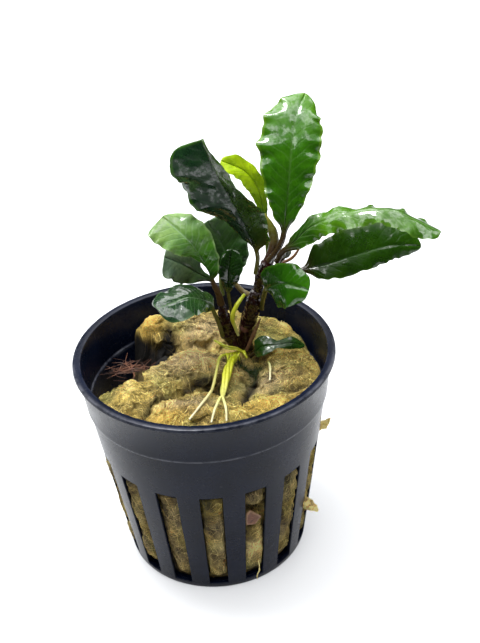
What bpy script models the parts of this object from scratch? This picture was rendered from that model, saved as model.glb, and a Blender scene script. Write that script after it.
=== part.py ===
# Small rosette plant with wavy leaves, growing in mineral wool in a slotted black net pot.
# Lengths below are millimetres. Z is up and the origin is the middle of the pot's flat base.
# X is to the right and Y is away from the side that is seen first.

import math
from types import SimpleNamespace

import bpy
import bmesh
import numpy as np

MM = 0.001
GAP = 0.3

# Net pot
POT_HEIGHT = 49.6
RIM_RADIUS = 27.5
RIM_INNER_RADIUS = 25.7
BAND_TOP_RADIUS = 26.6
BAND_FOOT_RADIUS = 25.8
STEP_HEIGHT = 40.2
STEP_WIDTH = 0.4
BASE_RADIUS = 20.2
WALL = 0.85
FLOOR = 0.9
LIP_THICKNESS = 1.0
POT_SEGMENTS = 64

SLOT_COUNT = 16
SLOT_PITCH = 360 / SLOT_COUNT
FIRST_SLOT_ANGLE = 244.7
SLOT_FOOT = 1.4
SLOT_TOP = 29.2
SLOT_FOOT_WIDTH = 4.0
SLOT_TOP_WIDTH = 4.7

FLOOR_SLOT_COUNT = 8
FLOOR_SLOT_WIDTH = 2.2
FLOOR_SLOT_INNER = 7.5
FLOOR_SLOT_OUTER = 16.5

# Mineral wool: lobes are x, y, half length, half width, turn in degrees, top; the hollow has no top
WOOL_LEVEL = 41.5
WOOL_EDGE_RADIUS = 24.1
WOOL_FOOT = FLOOR + GAP
WOOL_LOBES = [
    (-3.0, 0.3, 12.0, 7.0, 8, 46.3),
    (-15.5, -8.5, 8.5, 7.0, 20, 46.0),
    (-3.5, -15.0, 11.0, 7.0, 5, 46.2),
    (11.0, -16.5, 11.0, 6.0, 25, 45.4),
    (18.0, -3.0, 7.5, 9.0, 0, 44.8),
    (15.5, 13.0, 8.0, 9.0, 40, 44.6),
    (2.0, 18.0, 13.0, 6.5, -5, 45.3),
    (-9.8, 17.5, 6.0, 6.0, 0, 46.0),
]
HOLLOW = (-18.5, 6.5, 8.0, 12.5, -8)
HOLLOW_DEPTH = 12.0
SEAT = (8.0, 6.0, 4.5)
SEAT_HEIGHT = 43.4
WOOL_SPOKES = 39

LEAF_CELLS = 2
STALK_RINGS = 4


def leaf(path, face, width, **shape):
    """Shape of one leaf.

    path: foot of the stalk, bends, tip.
    face: directions that the upper side looks, from foot to tip.
    width: widest half blades, left and right of the midrib seen from the foot; pairs from base to tip.
    widest: share of the blade's length where it is widest, or one share for each half.
    blunt: pointedness of the base and the tip (0.1 square, 1 pointed); the tip may have one for each half.
    ruffle: height of the edge's waves, or one for each half.
    """
    item = SimpleNamespace(
        path=path,
        face=face,
        width=width,
        stalk=0.3,
        widest=0.5,
        blunt=(0.8, 0.6),
        fold=[(12, 12)],
        curl=[(10, 10)],
        ruffle=0.5,
        waves=6.0,
        phase=0.0,
        stalk_radius=(0.8, 0.6),
        thickness=0.5,
        rings=16,
    )
    item.__dict__.update(shape)
    return item


LEAVES = {
    "leaf_top": leaf(
        path=[(15, 3.9, 67.3), (17, 4.2, 69.8), (18.1, 4.9, 72.6), (19.2, 6.4, 79.1), (20.3, 8.6, 86.9),
              (21.8, 12.4, 93.4), (24.4, 17, 96.9)],
        face=[(-0.2, -1, 0.3), (-0.1, -1, 0.3), (-0.1, -1, 0.45), (-0.1, -1, 1)],
        width=[(6, 5), (6.6, 5.6), (6.9, 6.5)], stalk=0.17, widest=0.62, blunt=(0.5, 0.58),
        fold=[(25, 25), (8, 8), (5, 5)], curl=[(-10, -10), (-20, -20), (-25, -25)], rings=22,
        stalk_radius=(0.6, 0.6)),
    "leaf_upper_left": leaf(
        path=[(12, 4.5, 64.5), (12.5, 4.3, 67.8), (11.6, 4.2, 71.4), (9.6, 4.3, 76.9), (7.1, 4, 82.4),
              (4.6, 3.6, 88.9), (3, 4.6, 94)],
        face=[(-0.6, -0.7, 0.55), (-0.5, -0.75, 0.55), (-0.3, -0.85, 0.45)],
        width=[(7, 5), (7.2, 8.2), (8.4, 7.2), (9.4, 2.6)], stalk=0.15, widest=(0.7, 0.34),
        blunt=(0.56, (0.2, 0.7)),
        fold=[(10, 25), (8, 42), (0, 50)], curl=[(-20, -10)], ruffle=(0.9, 0.4), waves=2.8,
        phase=1.1, rings=22,
        stalk_radius=(0.45, 0.45)),
    "young_leaf": leaf(
        path=[(15, 8.5, 64.5), (15, 9, 68), (14.5, 9, 72.5), (14.5, 10, 76.5), (13.5, 10.5, 80.5),
              (11, 11, 84), (6.5, 11, 86.5)],
        face=[(-0.3, -0.9, 0.5), (-0.3, -0.8, 0.7)],
        width=[(0.9, 0.8), (1.2, 1), (2.2, 2.3), (2.7, 3)], stalk=0.14, widest=0.6, blunt=(0.4, 0.35),
        fold=[(15, 20)], curl=[(0, 0)], ruffle=0.2, waves=4, stalk_radius=(0.55, 0.5)),
    "leaf_right_upper": leaf(
        path=[(16.5, 2.5, 67.8), (17.3, 2, 69.6), (19.5, 1, 72), (23.5, 0, 76), (30, -2, 79),
              (37.5, -4, 80), (47, -7, 76)],
        face=[(-0.4, -0.5, 0.8), (-0.3, -0.6, 0.8), (-0.05, -0.1, 1), (0.2, -0.15, 1)],
        width=[(2.4, 4.6), (2.6, 3.3), (3.2, 3.2), (4.2, 5.4)], stalk=0.08, widest=0.56,
        blunt=(0.38, 0.35),
        fold=[(25, 10), (-22, -15), (-15, -12)], curl=[(0, -20), (-10, -15)], ruffle=0.55, phase=0.5,
        rings=22, stalk_radius=(0.55, 0.6)),
    "leaf_right_lower": leaf(
        path=[(15.6, 4.8, 63), (18, 4.9, 63), (21.5, 4, 64), (27, 3, 65.5), (32.5, 3, 67), (39.5, 4, 68),
              (46.5, 5.5, 66.5)],
        face=[(-0.1, -0.8, 0.6), (0, -0.85, 0.5)],
        width=[(5.8, 3.7), (5.6, 3.6)], stalk=0.2, widest=0.46, blunt=(0.5, 0.5),
        fold=[(10, 10), (0, 0)], curl=[(-10, -10), (-10, -20)], ruffle=0.3, waves=4, phase=0.5,
        rings=20, stalk_radius=(0.7, 0.6)),
    "leaf_round_front": leaf(
        path=[(13, 5.5, 55), (13.3, 3.6, 58.6), (14.2, 1.2, 62.2), (17.6, -1.8, 64.4), (22, -3, 63.3)],
        face=[(-0.8, -0.6, 0.3), (-0.1, -0.87, 0.55), (0.1, -0.87, 0.45)],
        width=[(4.3, 5)], stalk=0.42, widest=0.48, blunt=(0.35, 0.35),
        fold=[(10, 10), (5, 5)], curl=[(-8, -20), (-10, -28)], ruffle=0.35, waves=2.4, phase=2,
        stalk_radius=(0.5, 0.6)),
    "leaf_left_pale": leaf(
        path=[(4.3, 5.6, 57.2), (4, 5, 59.5), (3, 4, 63), (2, 3.5, 67), (0, 3, 71.5), (-2, 3, 74.5),
              (-6, 5.5, 78)],
        face=[(-0.3, -0.9, 0.3), (-0.3, -0.9, 0.4), (-0.2, -0.6, 0.8), (-0.2, -0.4, 1)],
        width=[(3.8, 4), (4.2, 4.2), (5.4, 5.6)], stalk=0.27, widest=(0.84, 0.56),
        blunt=(0.5, (0.12, 0.6)),
        fold=[(8, 24), (5, 20), (0, 5)], curl=[(0, 0), (-10, -20)], ruffle=0.4, waves=5, rings=20,
        stalk_radius=(0.8, 0.5)),
    "leaf_left_back": leaf(
        path=[(4.5, 8.5, 53.5), (4, 9, 57), (3, 9.5, 60), (0, 9, 62.5), (-3, 8, 65.5), (-6.5, 7, 68)],
        face=[(-0.2, -0.8, 0.6), (-0.2, -0.7, 0.8)],
        width=[(3.6, 3.2), (4.4, 4.2)], widest=0.74, blunt=(0.6, 0.16),
        fold=[(10, 5)], curl=[(-10, -20)], ruffle=0.3, waves=4, phase=1, stalk_radius=(0.55, 0.45)),
    "leaf_left_low": leaf(
        path=[(4.1, 3.9, 50.3), (3.3, 3, 54.5), (1.5, 1, 60), (-2, -1, 62.5), (-5, -3, 63), (-8.5, -5, 63)],
        face=[(-0.2, -0.6, 0.8), (-0.1, -0.5, 0.9), (-0.3, -0.5, 0.9)],
        width=[(3.6, 3.8), (4.3, 4.8), (5.2, 5.3)], stalk=0.33, widest=0.62, blunt=(0.42, 0.28),
        fold=[(25, 10), (0, 0)], curl=[(-20, -30), (-30, -40)], ruffle=0.4, waves=3, phase=2.5,
        stalk_radius=(0.5, 0.45)),
    "leaf_left_upright": leaf(
        path=[(6.5, 7, 53.6), (6.1, 6.2, 59.5), (6.5, 6.5, 63.5), (7.5, 8, 68)],
        face=[(0, -1, 0.3), (0, -0.9, 0.5)],
        width=[(2.3, 2.8)], stalk=0.36, widest=0.62, blunt=(0.6, 0.35),
        fold=[(30, 30), (15, 15)], curl=[(0, 0)], ruffle=0.2, waves=3, phase=2.5, rings=14,
        stalk_radius=(0.35, 0.4)),
    "leaf_back_left": leaf(
        path=[(11, 9, 56), (9, 10, 57), (7, 11.5, 60), (6, 13, 65.5), (3, 14, 72)],
        face=[(-0.2, -0.9, 0.4), (-0.2, -0.7, 0.7)],
        width=[(3.4, 4.8), (3.4, 5.8)], widest=0.52, blunt=(0.5, 0.35),
        fold=[(10, 5)], curl=[(-10, -20)], ruffle=0.3, waves=4, phase=1, rings=16,
        stalk_radius=(0.65, 0.5)),
    "leaf_base_right": leaf(
        path=[(10.3, 3.8, 44.2), (11.2, 3.2, 45.4), (12.5, 2.5, 47), (15.5, 2, 47.5), (18.5, 2, 47.5),
              (21.5, 3, 46)],
        face=[(-0.1, -0.5, 0.9), (0.1, -0.5, 0.9)],
        width=[(2.6, 2.6), (2.9, 2.7), (0.9, 1), (1.9, 1.5), (1.6, 1.5)], stalk=0.08, blunt=(0.42, 0.4),
        fold=[(15, 15), (10, 10)], curl=[(0, 0), (-20, -30)], ruffle=0.3, waves=2.4, phase=4,
        stalk_radius=(0.45, 0.45)),
    "leaf_small_behind": leaf(
        path=[(17.3, 8.2, 64.2), (18.5, 8, 65.4), (19, 7.6, 68.5)],
        face=[(0.2, -0.9, 0.4)],
        width=[(1, 1)],
        fold=[(20, 20)], curl=[(0, 0)], ruffle=0.1, waves=3, phase=1, rings=8, stalk_radius=(0.4, 0.4)),
}

# Stems, shoots and roots: path, radii from foot to tip, sides, rings
STEMS = {
    "main_stem": ([(9, 8, 44), (9.5, 8, 48), (11, 7, 54), (12, 6.5, 58.5)], (1.7, 1.7, 1.75, 1.2), 10, 8),
    "upper_stem": ([(12.5, 6.5, 59), (13, 6, 62), (14.5, 5.5, 65.5)], (0.9, 1.1, 1.3), 10, 6),
    "side_stem": ([(6.5, 5.5, 46.5), (5.5, 6, 49.5), (5, 6, 52.5), (4.5, 6, 56)],
                  (1.3, 1.65, 1.5, 0.8), 10, 8),
    "new_shoot": ([(15, 6, 66), (16, 6, 69), (16, 6.5, 72), (14.5, 7, 76)], (1.1, 1.05, 0.95, 0.25), 8, 8),
    "side_spear": ([(4.9, 6.7, 58.8), (4.7, 6.9, 61.8), (4.6, 7.2, 64.9)], (0.45, 0.42, 0.1), 8, 7),
    "dead_stalk": ([(17.2, 9.4, 63), (20, 9.4, 64), (22, 9, 67)], (0.3, 0.35, 0.2), 6, 6),
    "dry_sheath": ([(9.5, 5.5, 45), (11, 5.5, 48.5), (12.5, 5, 52.5)], (0.35, 0.5, 0.15), 6, 6),
    "root_crown": ([(2.4, 6.2, 47.2), (4.6, 3.8, 47), (7, 3.3, 46.4), (8.4, 3.2, 45.4), (9.2, 2.6, 44.4)],
                   (0.2, 0.4, 0.65, 0.5, 0.3), 6, 12),
    "stem_root": ([(9, 4.5, 58.5), (7.5, 3.5, 57), (6.5, 3, 54.5), (7, 3, 52), (7.5, 3, 50)],
                  (0.35, 0.45, 0.5, 0.4, 0.25), 6, 12),
    "root_left": ([(4.3, 3.2, 45.2), (3.2, 0.5, 46.4), (2.4, -4.2, 47.2), (1.2, -9, 46), (0.2, -13, 47),
                   (-4, -19.2, 46)], (0.3, 0.35, 0.3, 0.3, 0.3, 0.2), 6, 18),
    "root_bundle": ([(6.6, 2.4, 45.2), (5.6, -0.8, 46.2), (4.6, -4.6, 46.8), (3.2, -11, 46.2),
                     (2.8, -14.5, 46.8)], (0.6, 0.7, 0.9, 0.6, 0.35), 8, 12),
    "root_fork_left": ([(2.2, -15.2, 47.2), (1.2, -17.5, 46.8), (0.2, -20, 45.4)], (0.3, 0.3, 0.2), 6, 8),
    "root_fork_right": ([(3, -15.4, 47.2), (3.3, -17.5, 46.8), (3.2, -20, 45.4)], (0.3, 0.3, 0.2), 6, 8),
    "root_right": ([(13.5, 0, 44.3), (13.5, -3, 45.3), (13, -7, 44.8)], (0.25, 0.25, 0.18), 6, 8),
    "wool_tuft_high": ([(23.1, -1.1, 27), (24.8, -1.3, 27.4), (26.4, -1.2, 29)], (1.1, 0.9, 0.2), 6, 4),
    "wool_tuft_low": ([(19.2, -8.3, 11.6), (20.7, -9, 11.2), (22.2, -9.5, 9.8)], (1.3, 1.1, 0.3), 6, 4),
}

TUFT_CENTRE = (-16.6, 8.8, 39.8)
TUFT_ARMS = [(-21.6, 5.4, 40.2), (-16, 3.6, 40.2), (-13.6, 7, 40.6), (-14.2, 11, 40.8),
             (-17.2, 14.2, 40.6), (-20.6, 11, 40.4)]
TUFT_THICKNESS = 1.4

CHIP_ANGLE = -70.9
CHIP_HEIGHT = 20.8
CHIP_SIZE = (3.5, 0.5, 4.9)

COLOURS = {
    "net_pot": ((0.018, 0.02, 0.028), 0.38),
    "rock_wool": ((0.36, 0.27, 0.08), 0.95),
    "leaf_top": ((0.06, 0.22, 0.03), 0.22),
    "leaf_upper_left": ((0.012, 0.06, 0.035), 0.18),
    "young_leaf": ((0.33, 0.5, 0.02), 0.3),
    "leaf_right_upper": ((0.05, 0.16, 0.04), 0.22),
    "leaf_right_lower": ((0.025, 0.08, 0.012), 0.22),
    "leaf_round_front": ((0.025, 0.13, 0.02), 0.2),
    "leaf_left_pale": ((0.13, 0.3, 0.08), 0.25),
    "leaf_left_back": ((0.03, 0.08, 0.04), 0.2),
    "leaf_left_low": ((0.04, 0.11, 0.05), 0.18),
    "leaf_left_upright": ((0.012, 0.05, 0.015), 0.2),
    "leaf_back_left": ((0.03, 0.09, 0.03), 0.25),
    "leaf_base_right": ((0.015, 0.07, 0.02), 0.2),
    "leaf_small_behind": ((0.3, 0.34, 0.36), 0.2),
    "main_stem": ((0.06, 0.02, 0.015), 0.3),
    "upper_stem": ((0.07, 0.022, 0.015), 0.3),
    "side_stem": ((0.07, 0.025, 0.015), 0.35),
    "new_shoot": ((0.09, 0.06, 0.02), 0.35),
    "side_spear": ((0.4, 0.42, 0.12), 0.4),
    "dead_stalk": ((0.35, 0.16, 0.07), 0.6),
    "dry_sheath": ((0.25, 0.13, 0.06), 0.5),
    "root_crown": ((0.35, 0.42, 0.05), 0.4),
    "stem_root": ((0.35, 0.4, 0.1), 0.4),
    "root_left": ((0.55, 0.55, 0.2), 0.4),
    "root_bundle": ((0.42, 0.5, 0.05), 0.35),
    "root_fork_left": ((0.6, 0.58, 0.25), 0.4),
    "root_fork_right": ((0.6, 0.58, 0.25), 0.4),
    "root_right": ((0.7, 0.62, 0.35), 0.45),
    "wool_tuft_high": ((0.45, 0.38, 0.15), 0.95),
    "wool_tuft_low": ((0.42, 0.34, 0.12), 0.95),
    "dead_root_tuft": ((0.16, 0.07, 0.035), 0.8),
    "bark_chip": ((0.22, 0.11, 0.09), 0.8),
}


def clear_scene():
    for item in list(bpy.data.objects):
        bpy.data.objects.remove(item, do_unlink=True)


def add_object(name, points, faces, smooth=True):
    """Make a mesh object from points in millimetres and give it its material."""
    mesh = bpy.data.meshes.new(name)
    mesh.from_pydata([tuple(float(c) * MM for c in p) for p in points], [], faces)
    built = bmesh.new()
    built.from_mesh(mesh)
    bmesh.ops.recalc_face_normals(built, faces=built.faces)
    built.to_mesh(mesh)
    built.free()
    if smooth:
        mesh.shade_smooth()
        mesh.set_sharp_from_angle(angle=math.radians(40))
    item = bpy.data.objects.new(name, mesh)
    bpy.context.collection.objects.link(item)
    if name in COLOURS:
        mesh.materials.append(make_material(name))
    return item


def make_material(name):
    colour, roughness = COLOURS[name]
    material = bpy.data.materials.new(name)
    material.use_nodes = True
    shader = material.node_tree.nodes["Principled BSDF"]
    shader.inputs["Base Color"].default_value = (*colour, 1)
    shader.inputs["Roughness"].default_value = roughness
    shader.inputs["Metallic"].default_value = 0
    return material


def unit(vector):
    return vector / np.linalg.norm(vector)


def smooth_path(points, count=160):
    """Evenly sampled smooth curve through the points."""
    p = np.asarray(points, float)
    p = np.vstack([2 * p[0] - p[1], p, 2 * p[-1] - p[-2]])
    spans = len(p) - 3
    t = np.linspace(0, spans, count)
    i = np.minimum(t.astype(int), spans - 1)
    f = (t - i)[:, None]
    a, b, c, d = p[i], p[i + 1], p[i + 2], p[i + 3]
    linear = (c - a) * f
    square = (2 * a - 5 * b + 4 * c - d) * f ** 2
    cube = (3 * b - a - 3 * c + d) * f ** 3
    return 0.5 * (2 * b + linear + square + cube)


def along(values, s):
    """Value at share s of a list of tuples spread from foot to tip."""
    rows = np.asarray(values, float)
    if len(rows) == 1:
        return rows[0]
    x = np.linspace(0, 1, len(rows))
    return np.array([np.interp(s, x, rows[:, k]) for k in range(rows.shape[1])])


def frame_at(path, s, up):
    """Centre, upward normal and right-hand side of a path at share s of its length."""
    steps = np.linalg.norm(np.diff(path, axis=0), axis=1)
    length = np.concatenate([[0], np.cumsum(steps)])
    share = length / length[-1]
    low = np.array([np.interp(max(s - 0.01, 0), share, path[:, k]) for k in range(3)])
    high = np.array([np.interp(min(s + 0.01, 1), share, path[:, k]) for k in range(3)])
    centre = np.array([np.interp(s, share, path[:, k]) for k in range(3)])
    forward = unit(high - low)
    up = unit(up - forward * (up @ forward))
    return centre, up, np.cross(forward, up)


def of_half(value, j):
    """The value itself, or the one for the left (0) or right (1) half blade."""
    return value[j] if isinstance(value, tuple) else value


def half_width(item, f, j):
    """Share of the widest half blade at share f of the blade, on the left (0) or the right (1)."""
    widest = of_half(item.widest, j)
    base_end, tip_end = item.blunt
    power = math.log(0.5) / math.log(widest)
    tip = min(max((f - 0.3) / 0.4, 0), 1)
    blunt = base_end * (1 - tip) + of_half(tip_end, j) * tip
    return math.sin(math.pi * f ** power) ** blunt


def wave(item, f, side):
    """Height of the wavy edge, between about -1 and 1."""
    a = 2 * math.pi * item.waves * f + item.phase + 2.1 * side
    return 0.7 * math.sin(a) + 0.35 * math.sin(1.63 * a + 1.3 + side)


def blade_offset(item, f, u, face, radius, up, side):
    """Point of the blade's skin at share f along it and u across it, from the midrib."""
    j = 0 if u < 0 else 1
    sign = -1 if u < 0 else 1
    x = abs(u)
    start = math.radians(along(item.fold, f)[j])
    bend = math.radians(along(item.curl, f)[j])
    if abs(bend) < 0.001:
        bend = 0.001
    end = start + bend * x
    taper = half_width(item, f, j)
    reach = along(item.width, f)[j] * taper * (1 + 0.035 * wave(item, f + 0.04, -sign) * x)
    across = reach * (math.sin(end) - math.sin(start)) / bend
    rise = reach * (math.cos(start) - math.cos(end)) / bend
    ruffle = of_half(item.ruffle, j) * wave(item, f, sign) * x ** 2.5 * min(1, taper * 1.4)
    half = item.thickness / 2 * (1 - x ** 3)
    if face < 0:
        half += radius * 0.9 * max(0, 1 - x * 2.5)
    normal = side * (-math.sin(end) * sign) + up * math.cos(end)
    return side * across * sign + up * rise + normal * (ruffle + half * face)


def leaf_ring(item, path, s, cells):
    """Closed ring of points round the leaf at share s of its path."""
    centre, up, side = frame_at(path, s, along(item.face, s))
    f = (s - item.stalk) / (1 - item.stalk)
    ease = min(max(f / 0.14, 0), 1)
    ease = ease * ease * (3 - 2 * ease)
    radius = float(np.interp(s, [0, item.stalk, 1], [*item.stalk_radius, 0.12]))
    row = [k / cells for k in range(-cells, cells + 1)]
    ring = [(u, 1) for u in row] + [(u, -1) for u in row[-2:0:-1]]
    points = []
    for u, face in ring:
        angle = math.pi / 2 * (1 - u)
        offset = side * radius * math.cos(angle) + up * radius * math.sin(angle) * face
        if f > 0:
            blade = blade_offset(item, f, u, face, radius, up, side)
            offset = offset * (1 - ease) + blade * ease
        points.append(centre + offset)
    return points


def leaf_mesh(item, cells, stalk_rings):
    """Points and faces of a whole leaf: round stalk, thin wavy blade, pointed tip."""
    path = smooth_path(item.path)
    shares = [item.stalk * k / stalk_rings for k in range(stalk_rings)]
    for k in range(item.rings):
        shares.append(item.stalk + (1 - item.stalk) * (1 - (1 - k / item.rings) ** 1.15))
    points = []
    for s in shares:
        points += leaf_ring(item, path, s, cells)
    count = 4 * cells
    faces = leaf_faces(cells, len(shares))
    faces.append(list(range(count)))
    points.append(path[-1])
    last = (len(shares) - 1) * count
    for k in range(count):
        faces.append([last + k, last + (k + 1) % count, len(points) - 1])
    return points, faces


def leaf_faces(cells, rings):
    """Triangles between neighbouring rings, split the same way on the upper and the lower side."""
    count = 4 * cells
    faces = []
    for a, b, c, d in ring_faces(count, rings):
        if a % count < 2 * cells:
            faces += [[a, b, c], [a, c, d]]
        else:
            faces += [[a, b, d], [b, c, d]]
    return faces


def ring_faces(count, rings):
    """Quads between neighbouring rings of the same number of points."""
    faces = []
    for i in range(rings - 1):
        for k in range(count):
            n = (k + 1) % count
            faces.append([i * count + k, i * count + n, (i + 1) * count + n, (i + 1) * count + k])
    return faces


def tube_mesh(points, radii, sides, rings):
    """Tapered round stem along a smooth path, closed at both ends."""
    path = smooth_path(points)
    up = unit(np.array([0.3, -0.9, 0.2]))
    skin = []
    for i in range(rings + 1):
        s = i / rings
        centre, up, side = frame_at(path, s, up)
        radius = float(np.interp(s, np.linspace(0, 1, len(radii)), radii))
        for k in range(sides):
            a = 2 * math.pi * k / sides
            skin.append(centre + side * radius * math.cos(a) + up * radius * math.sin(a))
    faces = ring_faces(sides, rings + 1)
    faces.append(list(range(sides)))
    faces.append([rings * sides + k for k in range(sides)])
    return skin, faces


def inner_radius(z):
    """Radius of the pot's inner wall below the step."""
    body_top = BAND_FOOT_RADIUS - STEP_WIDTH - WALL
    return BASE_RADIUS - WALL + (body_top - BASE_RADIUS + WALL) * (z - FLOOR) / (STEP_HEIGHT - 1 - FLOOR)


def pot_profile():
    """Closed outline of the pot's section as radius and height, from the middle of the base."""
    body_top = BAND_FOOT_RADIUS - STEP_WIDTH
    return [
        (0, 0),
        (BASE_RADIUS - 0.5, 0),
        (BASE_RADIUS, 0.5),
        (body_top, STEP_HEIGHT - 0.4),
        (BAND_FOOT_RADIUS, STEP_HEIGHT),
        (BAND_TOP_RADIUS, POT_HEIGHT - LIP_THICKNESS),
        (RIM_RADIUS, POT_HEIGHT - LIP_THICKNESS + 0.1),
        (RIM_RADIUS, POT_HEIGHT - 0.3),
        (RIM_RADIUS - 0.3, POT_HEIGHT),
        (RIM_INNER_RADIUS + 0.5, POT_HEIGHT),
        (RIM_INNER_RADIUS, POT_HEIGHT - 0.5),
        (BAND_FOOT_RADIUS - WALL, STEP_HEIGHT - 0.2),
        (body_top - WALL, STEP_HEIGHT - 1),
        (BASE_RADIUS - WALL, FLOOR),
        (0, FLOOR),
    ]


def build_pot():
    """Turned pot with its slots cut out."""
    profile = pot_profile()
    points = []
    for r, z in profile[1:-1]:
        for k in range(POT_SEGMENTS):
            a = 2 * math.pi * k / POT_SEGMENTS
            points.append((r * math.cos(a), r * math.sin(a), z))
    count = POT_SEGMENTS
    faces = ring_faces(count, len(profile) - 2)
    faces.append(list(range(count)))
    last = (len(profile) - 3) * count
    faces.append([last + k for k in range(count)])
    pot = add_object("net_pot", points, faces, smooth=False)
    cutter = build_slot_cutters()
    cut = pot.modifiers.new("slots", "BOOLEAN")
    cut.operation = "DIFFERENCE"
    cut.object = cutter
    pot.data.shade_smooth()
    pot.data.set_sharp_from_angle(angle=math.radians(30))


def add_prism(points, faces, foot, top):
    """Add a block between a lower and an upper four-cornered outline."""
    start = len(points)
    points += foot + top
    block = [(3, 2, 1, 0), (4, 5, 6, 7), (0, 1, 5, 4), (1, 2, 6, 5), (2, 3, 7, 6), (3, 0, 4, 7)]
    faces += [[start + k for k in face] for face in block]


def slot_outline(angle, inner, outer, width, z):
    """Four corners of an upright slot's section, straight out at the angle."""
    c, s = math.cos(angle), math.sin(angle)
    corners = [(inner, -width / 2), (outer, -width / 2), (outer, width / 2), (inner, width / 2)]
    return [(r * c - t * s, r * s + t * c, z) for r, t in corners]


def build_slot_cutters():
    """Blocks that cut the wall slots and the floor slots."""
    points = []
    faces = []
    for k in range(SLOT_COUNT):
        angle = math.radians(FIRST_SLOT_ANGLE + k * SLOT_PITCH)
        foot = slot_outline(angle, 17.8, 29, SLOT_FOOT_WIDTH, SLOT_FOOT)
        top = slot_outline(angle, 17.8, 29, SLOT_TOP_WIDTH, SLOT_TOP)
        add_prism(points, faces, foot, top)
    for k in range(FLOOR_SLOT_COUNT):
        angle = math.radians(FIRST_SLOT_ANGLE + k * 360 / FLOOR_SLOT_COUNT)
        foot = slot_outline(angle, FLOOR_SLOT_INNER, FLOOR_SLOT_OUTER, FLOOR_SLOT_WIDTH, -1)
        top = slot_outline(angle, FLOOR_SLOT_INNER, FLOOR_SLOT_OUTER, FLOOR_SLOT_WIDTH, FLOOR + 0.3)
        add_prism(points, faces, foot, top)
    cutter = add_object("slot_cutters", points, faces, smooth=False)
    cutter.hide_render = True
    cutter.display_type = "WIRE"
    return cutter


def within(x, y, cx, cy, half_length, half_width, turn):
    """1 in the middle of a turned oval, falling to 0 at its edge and outside."""
    c, s = math.cos(math.radians(turn)), math.sin(math.radians(turn))
    dx = ((x - cx) * c + (y - cy) * s) / half_length
    dy = ((y - cy) * c - (x - cx) * s) / half_width
    return max(0.0, 1 - dx * dx - dy * dy)


def wool_height(x, y):
    """Height of the wool's lumpy top."""
    total = 0.0
    for *oval, top in WOOL_LOBES:
        total += ((top - WOOL_LEVEL) * math.sqrt(within(x, y, *oval))) ** 5
    height = WOOL_LEVEL + total ** 0.2
    height -= HOLLOW_DEPTH * min(1, within(x, y, *HOLLOW) * 2.2) ** 0.8
    cx, cy, reach = SEAT
    near = min(1, max(0, 1.6 - math.hypot(x - cx, y - cy) / reach))
    return height * (1 - near) + min(height, SEAT_HEIGHT) * near


def build_wool():
    """Wool plug that fills the pot, from its lumpy top down to the floor."""
    rings = []
    for share in (1 / 9, 2 / 9, 3 / 9, 4 / 9, 5 / 9, 6 / 9, 7 / 9, 8 / 9, 0.97):
        rings.append((share * WOOL_EDGE_RADIUS, None))
    for share in (0.95, 0.72, 0.45, 0.2):
        rings.append((None, share))
    points = []
    for radius, share in rings:
        for k in range(WOOL_SPOKES):
            a = 2 * math.pi * k / WOOL_SPOKES
            c, s = math.cos(a), math.sin(a)
            if radius is not None:
                z = wool_height(radius * c, radius * s)
                r = min(radius, inner_radius(z) - GAP)
                points.append((r * c, r * s, z))
                continue
            edge = wool_height(WOOL_EDGE_RADIUS * c, WOOL_EDGE_RADIUS * s)
            z = WOOL_FOOT + (edge - WOOL_FOOT) * share
            r = min(WOOL_EDGE_RADIUS, inner_radius(z) - GAP)
            points.append((r * c, r * s, z))
    foot = inner_radius(WOOL_FOOT) - GAP
    for k in range(WOOL_SPOKES):
        a = 2 * math.pi * k / WOOL_SPOKES
        points.append((foot * math.cos(a), foot * math.sin(a), WOOL_FOOT))
    count = WOOL_SPOKES
    faces = ring_faces(count, len(rings) + 1)
    middle = len(points)
    points.append((0, 0, wool_height(0, 0)))
    for k in range(count):
        faces.append([middle, k, (k + 1) % count])
    faces.append([len(rings) * count + k for k in range(count)])
    add_object("rock_wool", points, faces)


def build_dead_tuft():
    """Clump of dead brown roots: a flat star whose arms reach the root tips."""
    centre = np.array(TUFT_CENTRE)
    points = [centre + [0, 0, TUFT_THICKNESS / 2], centre - [0, 0, TUFT_THICKNESS / 2]]
    rim = []
    arms = [np.array(a) for a in TUFT_ARMS]
    for k, arm in enumerate(arms):
        after = arms[(k + 1) % len(arms)]
        rim.append(arm)
        rim.append(centre + ((arm + after) / 2 - centre) * 0.3)
    points += rim
    faces = []
    for k in range(len(rim)):
        n = (k + 1) % len(rim)
        faces.append([0, 2 + k, 2 + n])
        faces.append([1, 2 + n, 2 + k])
    add_object("dead_root_tuft", points, faces)


def build_chip():
    """Flake of bark in one of the slots, flush with the wall."""
    angle = math.radians(CHIP_ANGLE)
    outward = np.array([math.cos(angle), math.sin(angle), 0])
    sideways = np.array([-math.sin(angle), math.cos(angle), 0])
    lean = (BAND_FOOT_RADIUS - STEP_WIDTH - BASE_RADIUS) / STEP_HEIGHT
    width, depth, height = CHIP_SIZE
    outline = [(-0.5, 0.33), (-0.25, 0.5), (0.5, -0.11), (0.09, -0.5), (-0.5, -0.36)]
    points = []
    for layer in (0.05, 0.05 + depth):
        for u, v in outline:
            z = CHIP_HEIGHT + v * height
            r = inner_radius(CHIP_HEIGHT) + lean * v * height + layer
            points.append(outward * r + sideways * u * width + np.array([0, 0, z]))
    faces = ring_faces(len(outline), 2)
    faces.append(list(range(len(outline))))
    faces.append([len(outline) + k for k in range(len(outline))])
    add_object("bark_chip", points, faces, smooth=False)


def build_plant():
    for name, item in LEAVES.items():
        points, faces = leaf_mesh(item, LEAF_CELLS, STALK_RINGS)
        add_object(name, points, faces)
    for name, (path, radii, sides, rings) in STEMS.items():
        points, faces = tube_mesh(path, radii, sides, rings)
        add_object(name, points, faces)


def main():
    clear_scene()
    build_pot()
    build_wool()
    build_plant()
    build_dead_tuft()
    build_chip()


main()
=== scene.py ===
# Looks of a small plant with wavy leaves in a slotted black net pot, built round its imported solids.
# Tables are in millimetres, as in the part's source: X to the right, Y away from the front, Z up.

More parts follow.
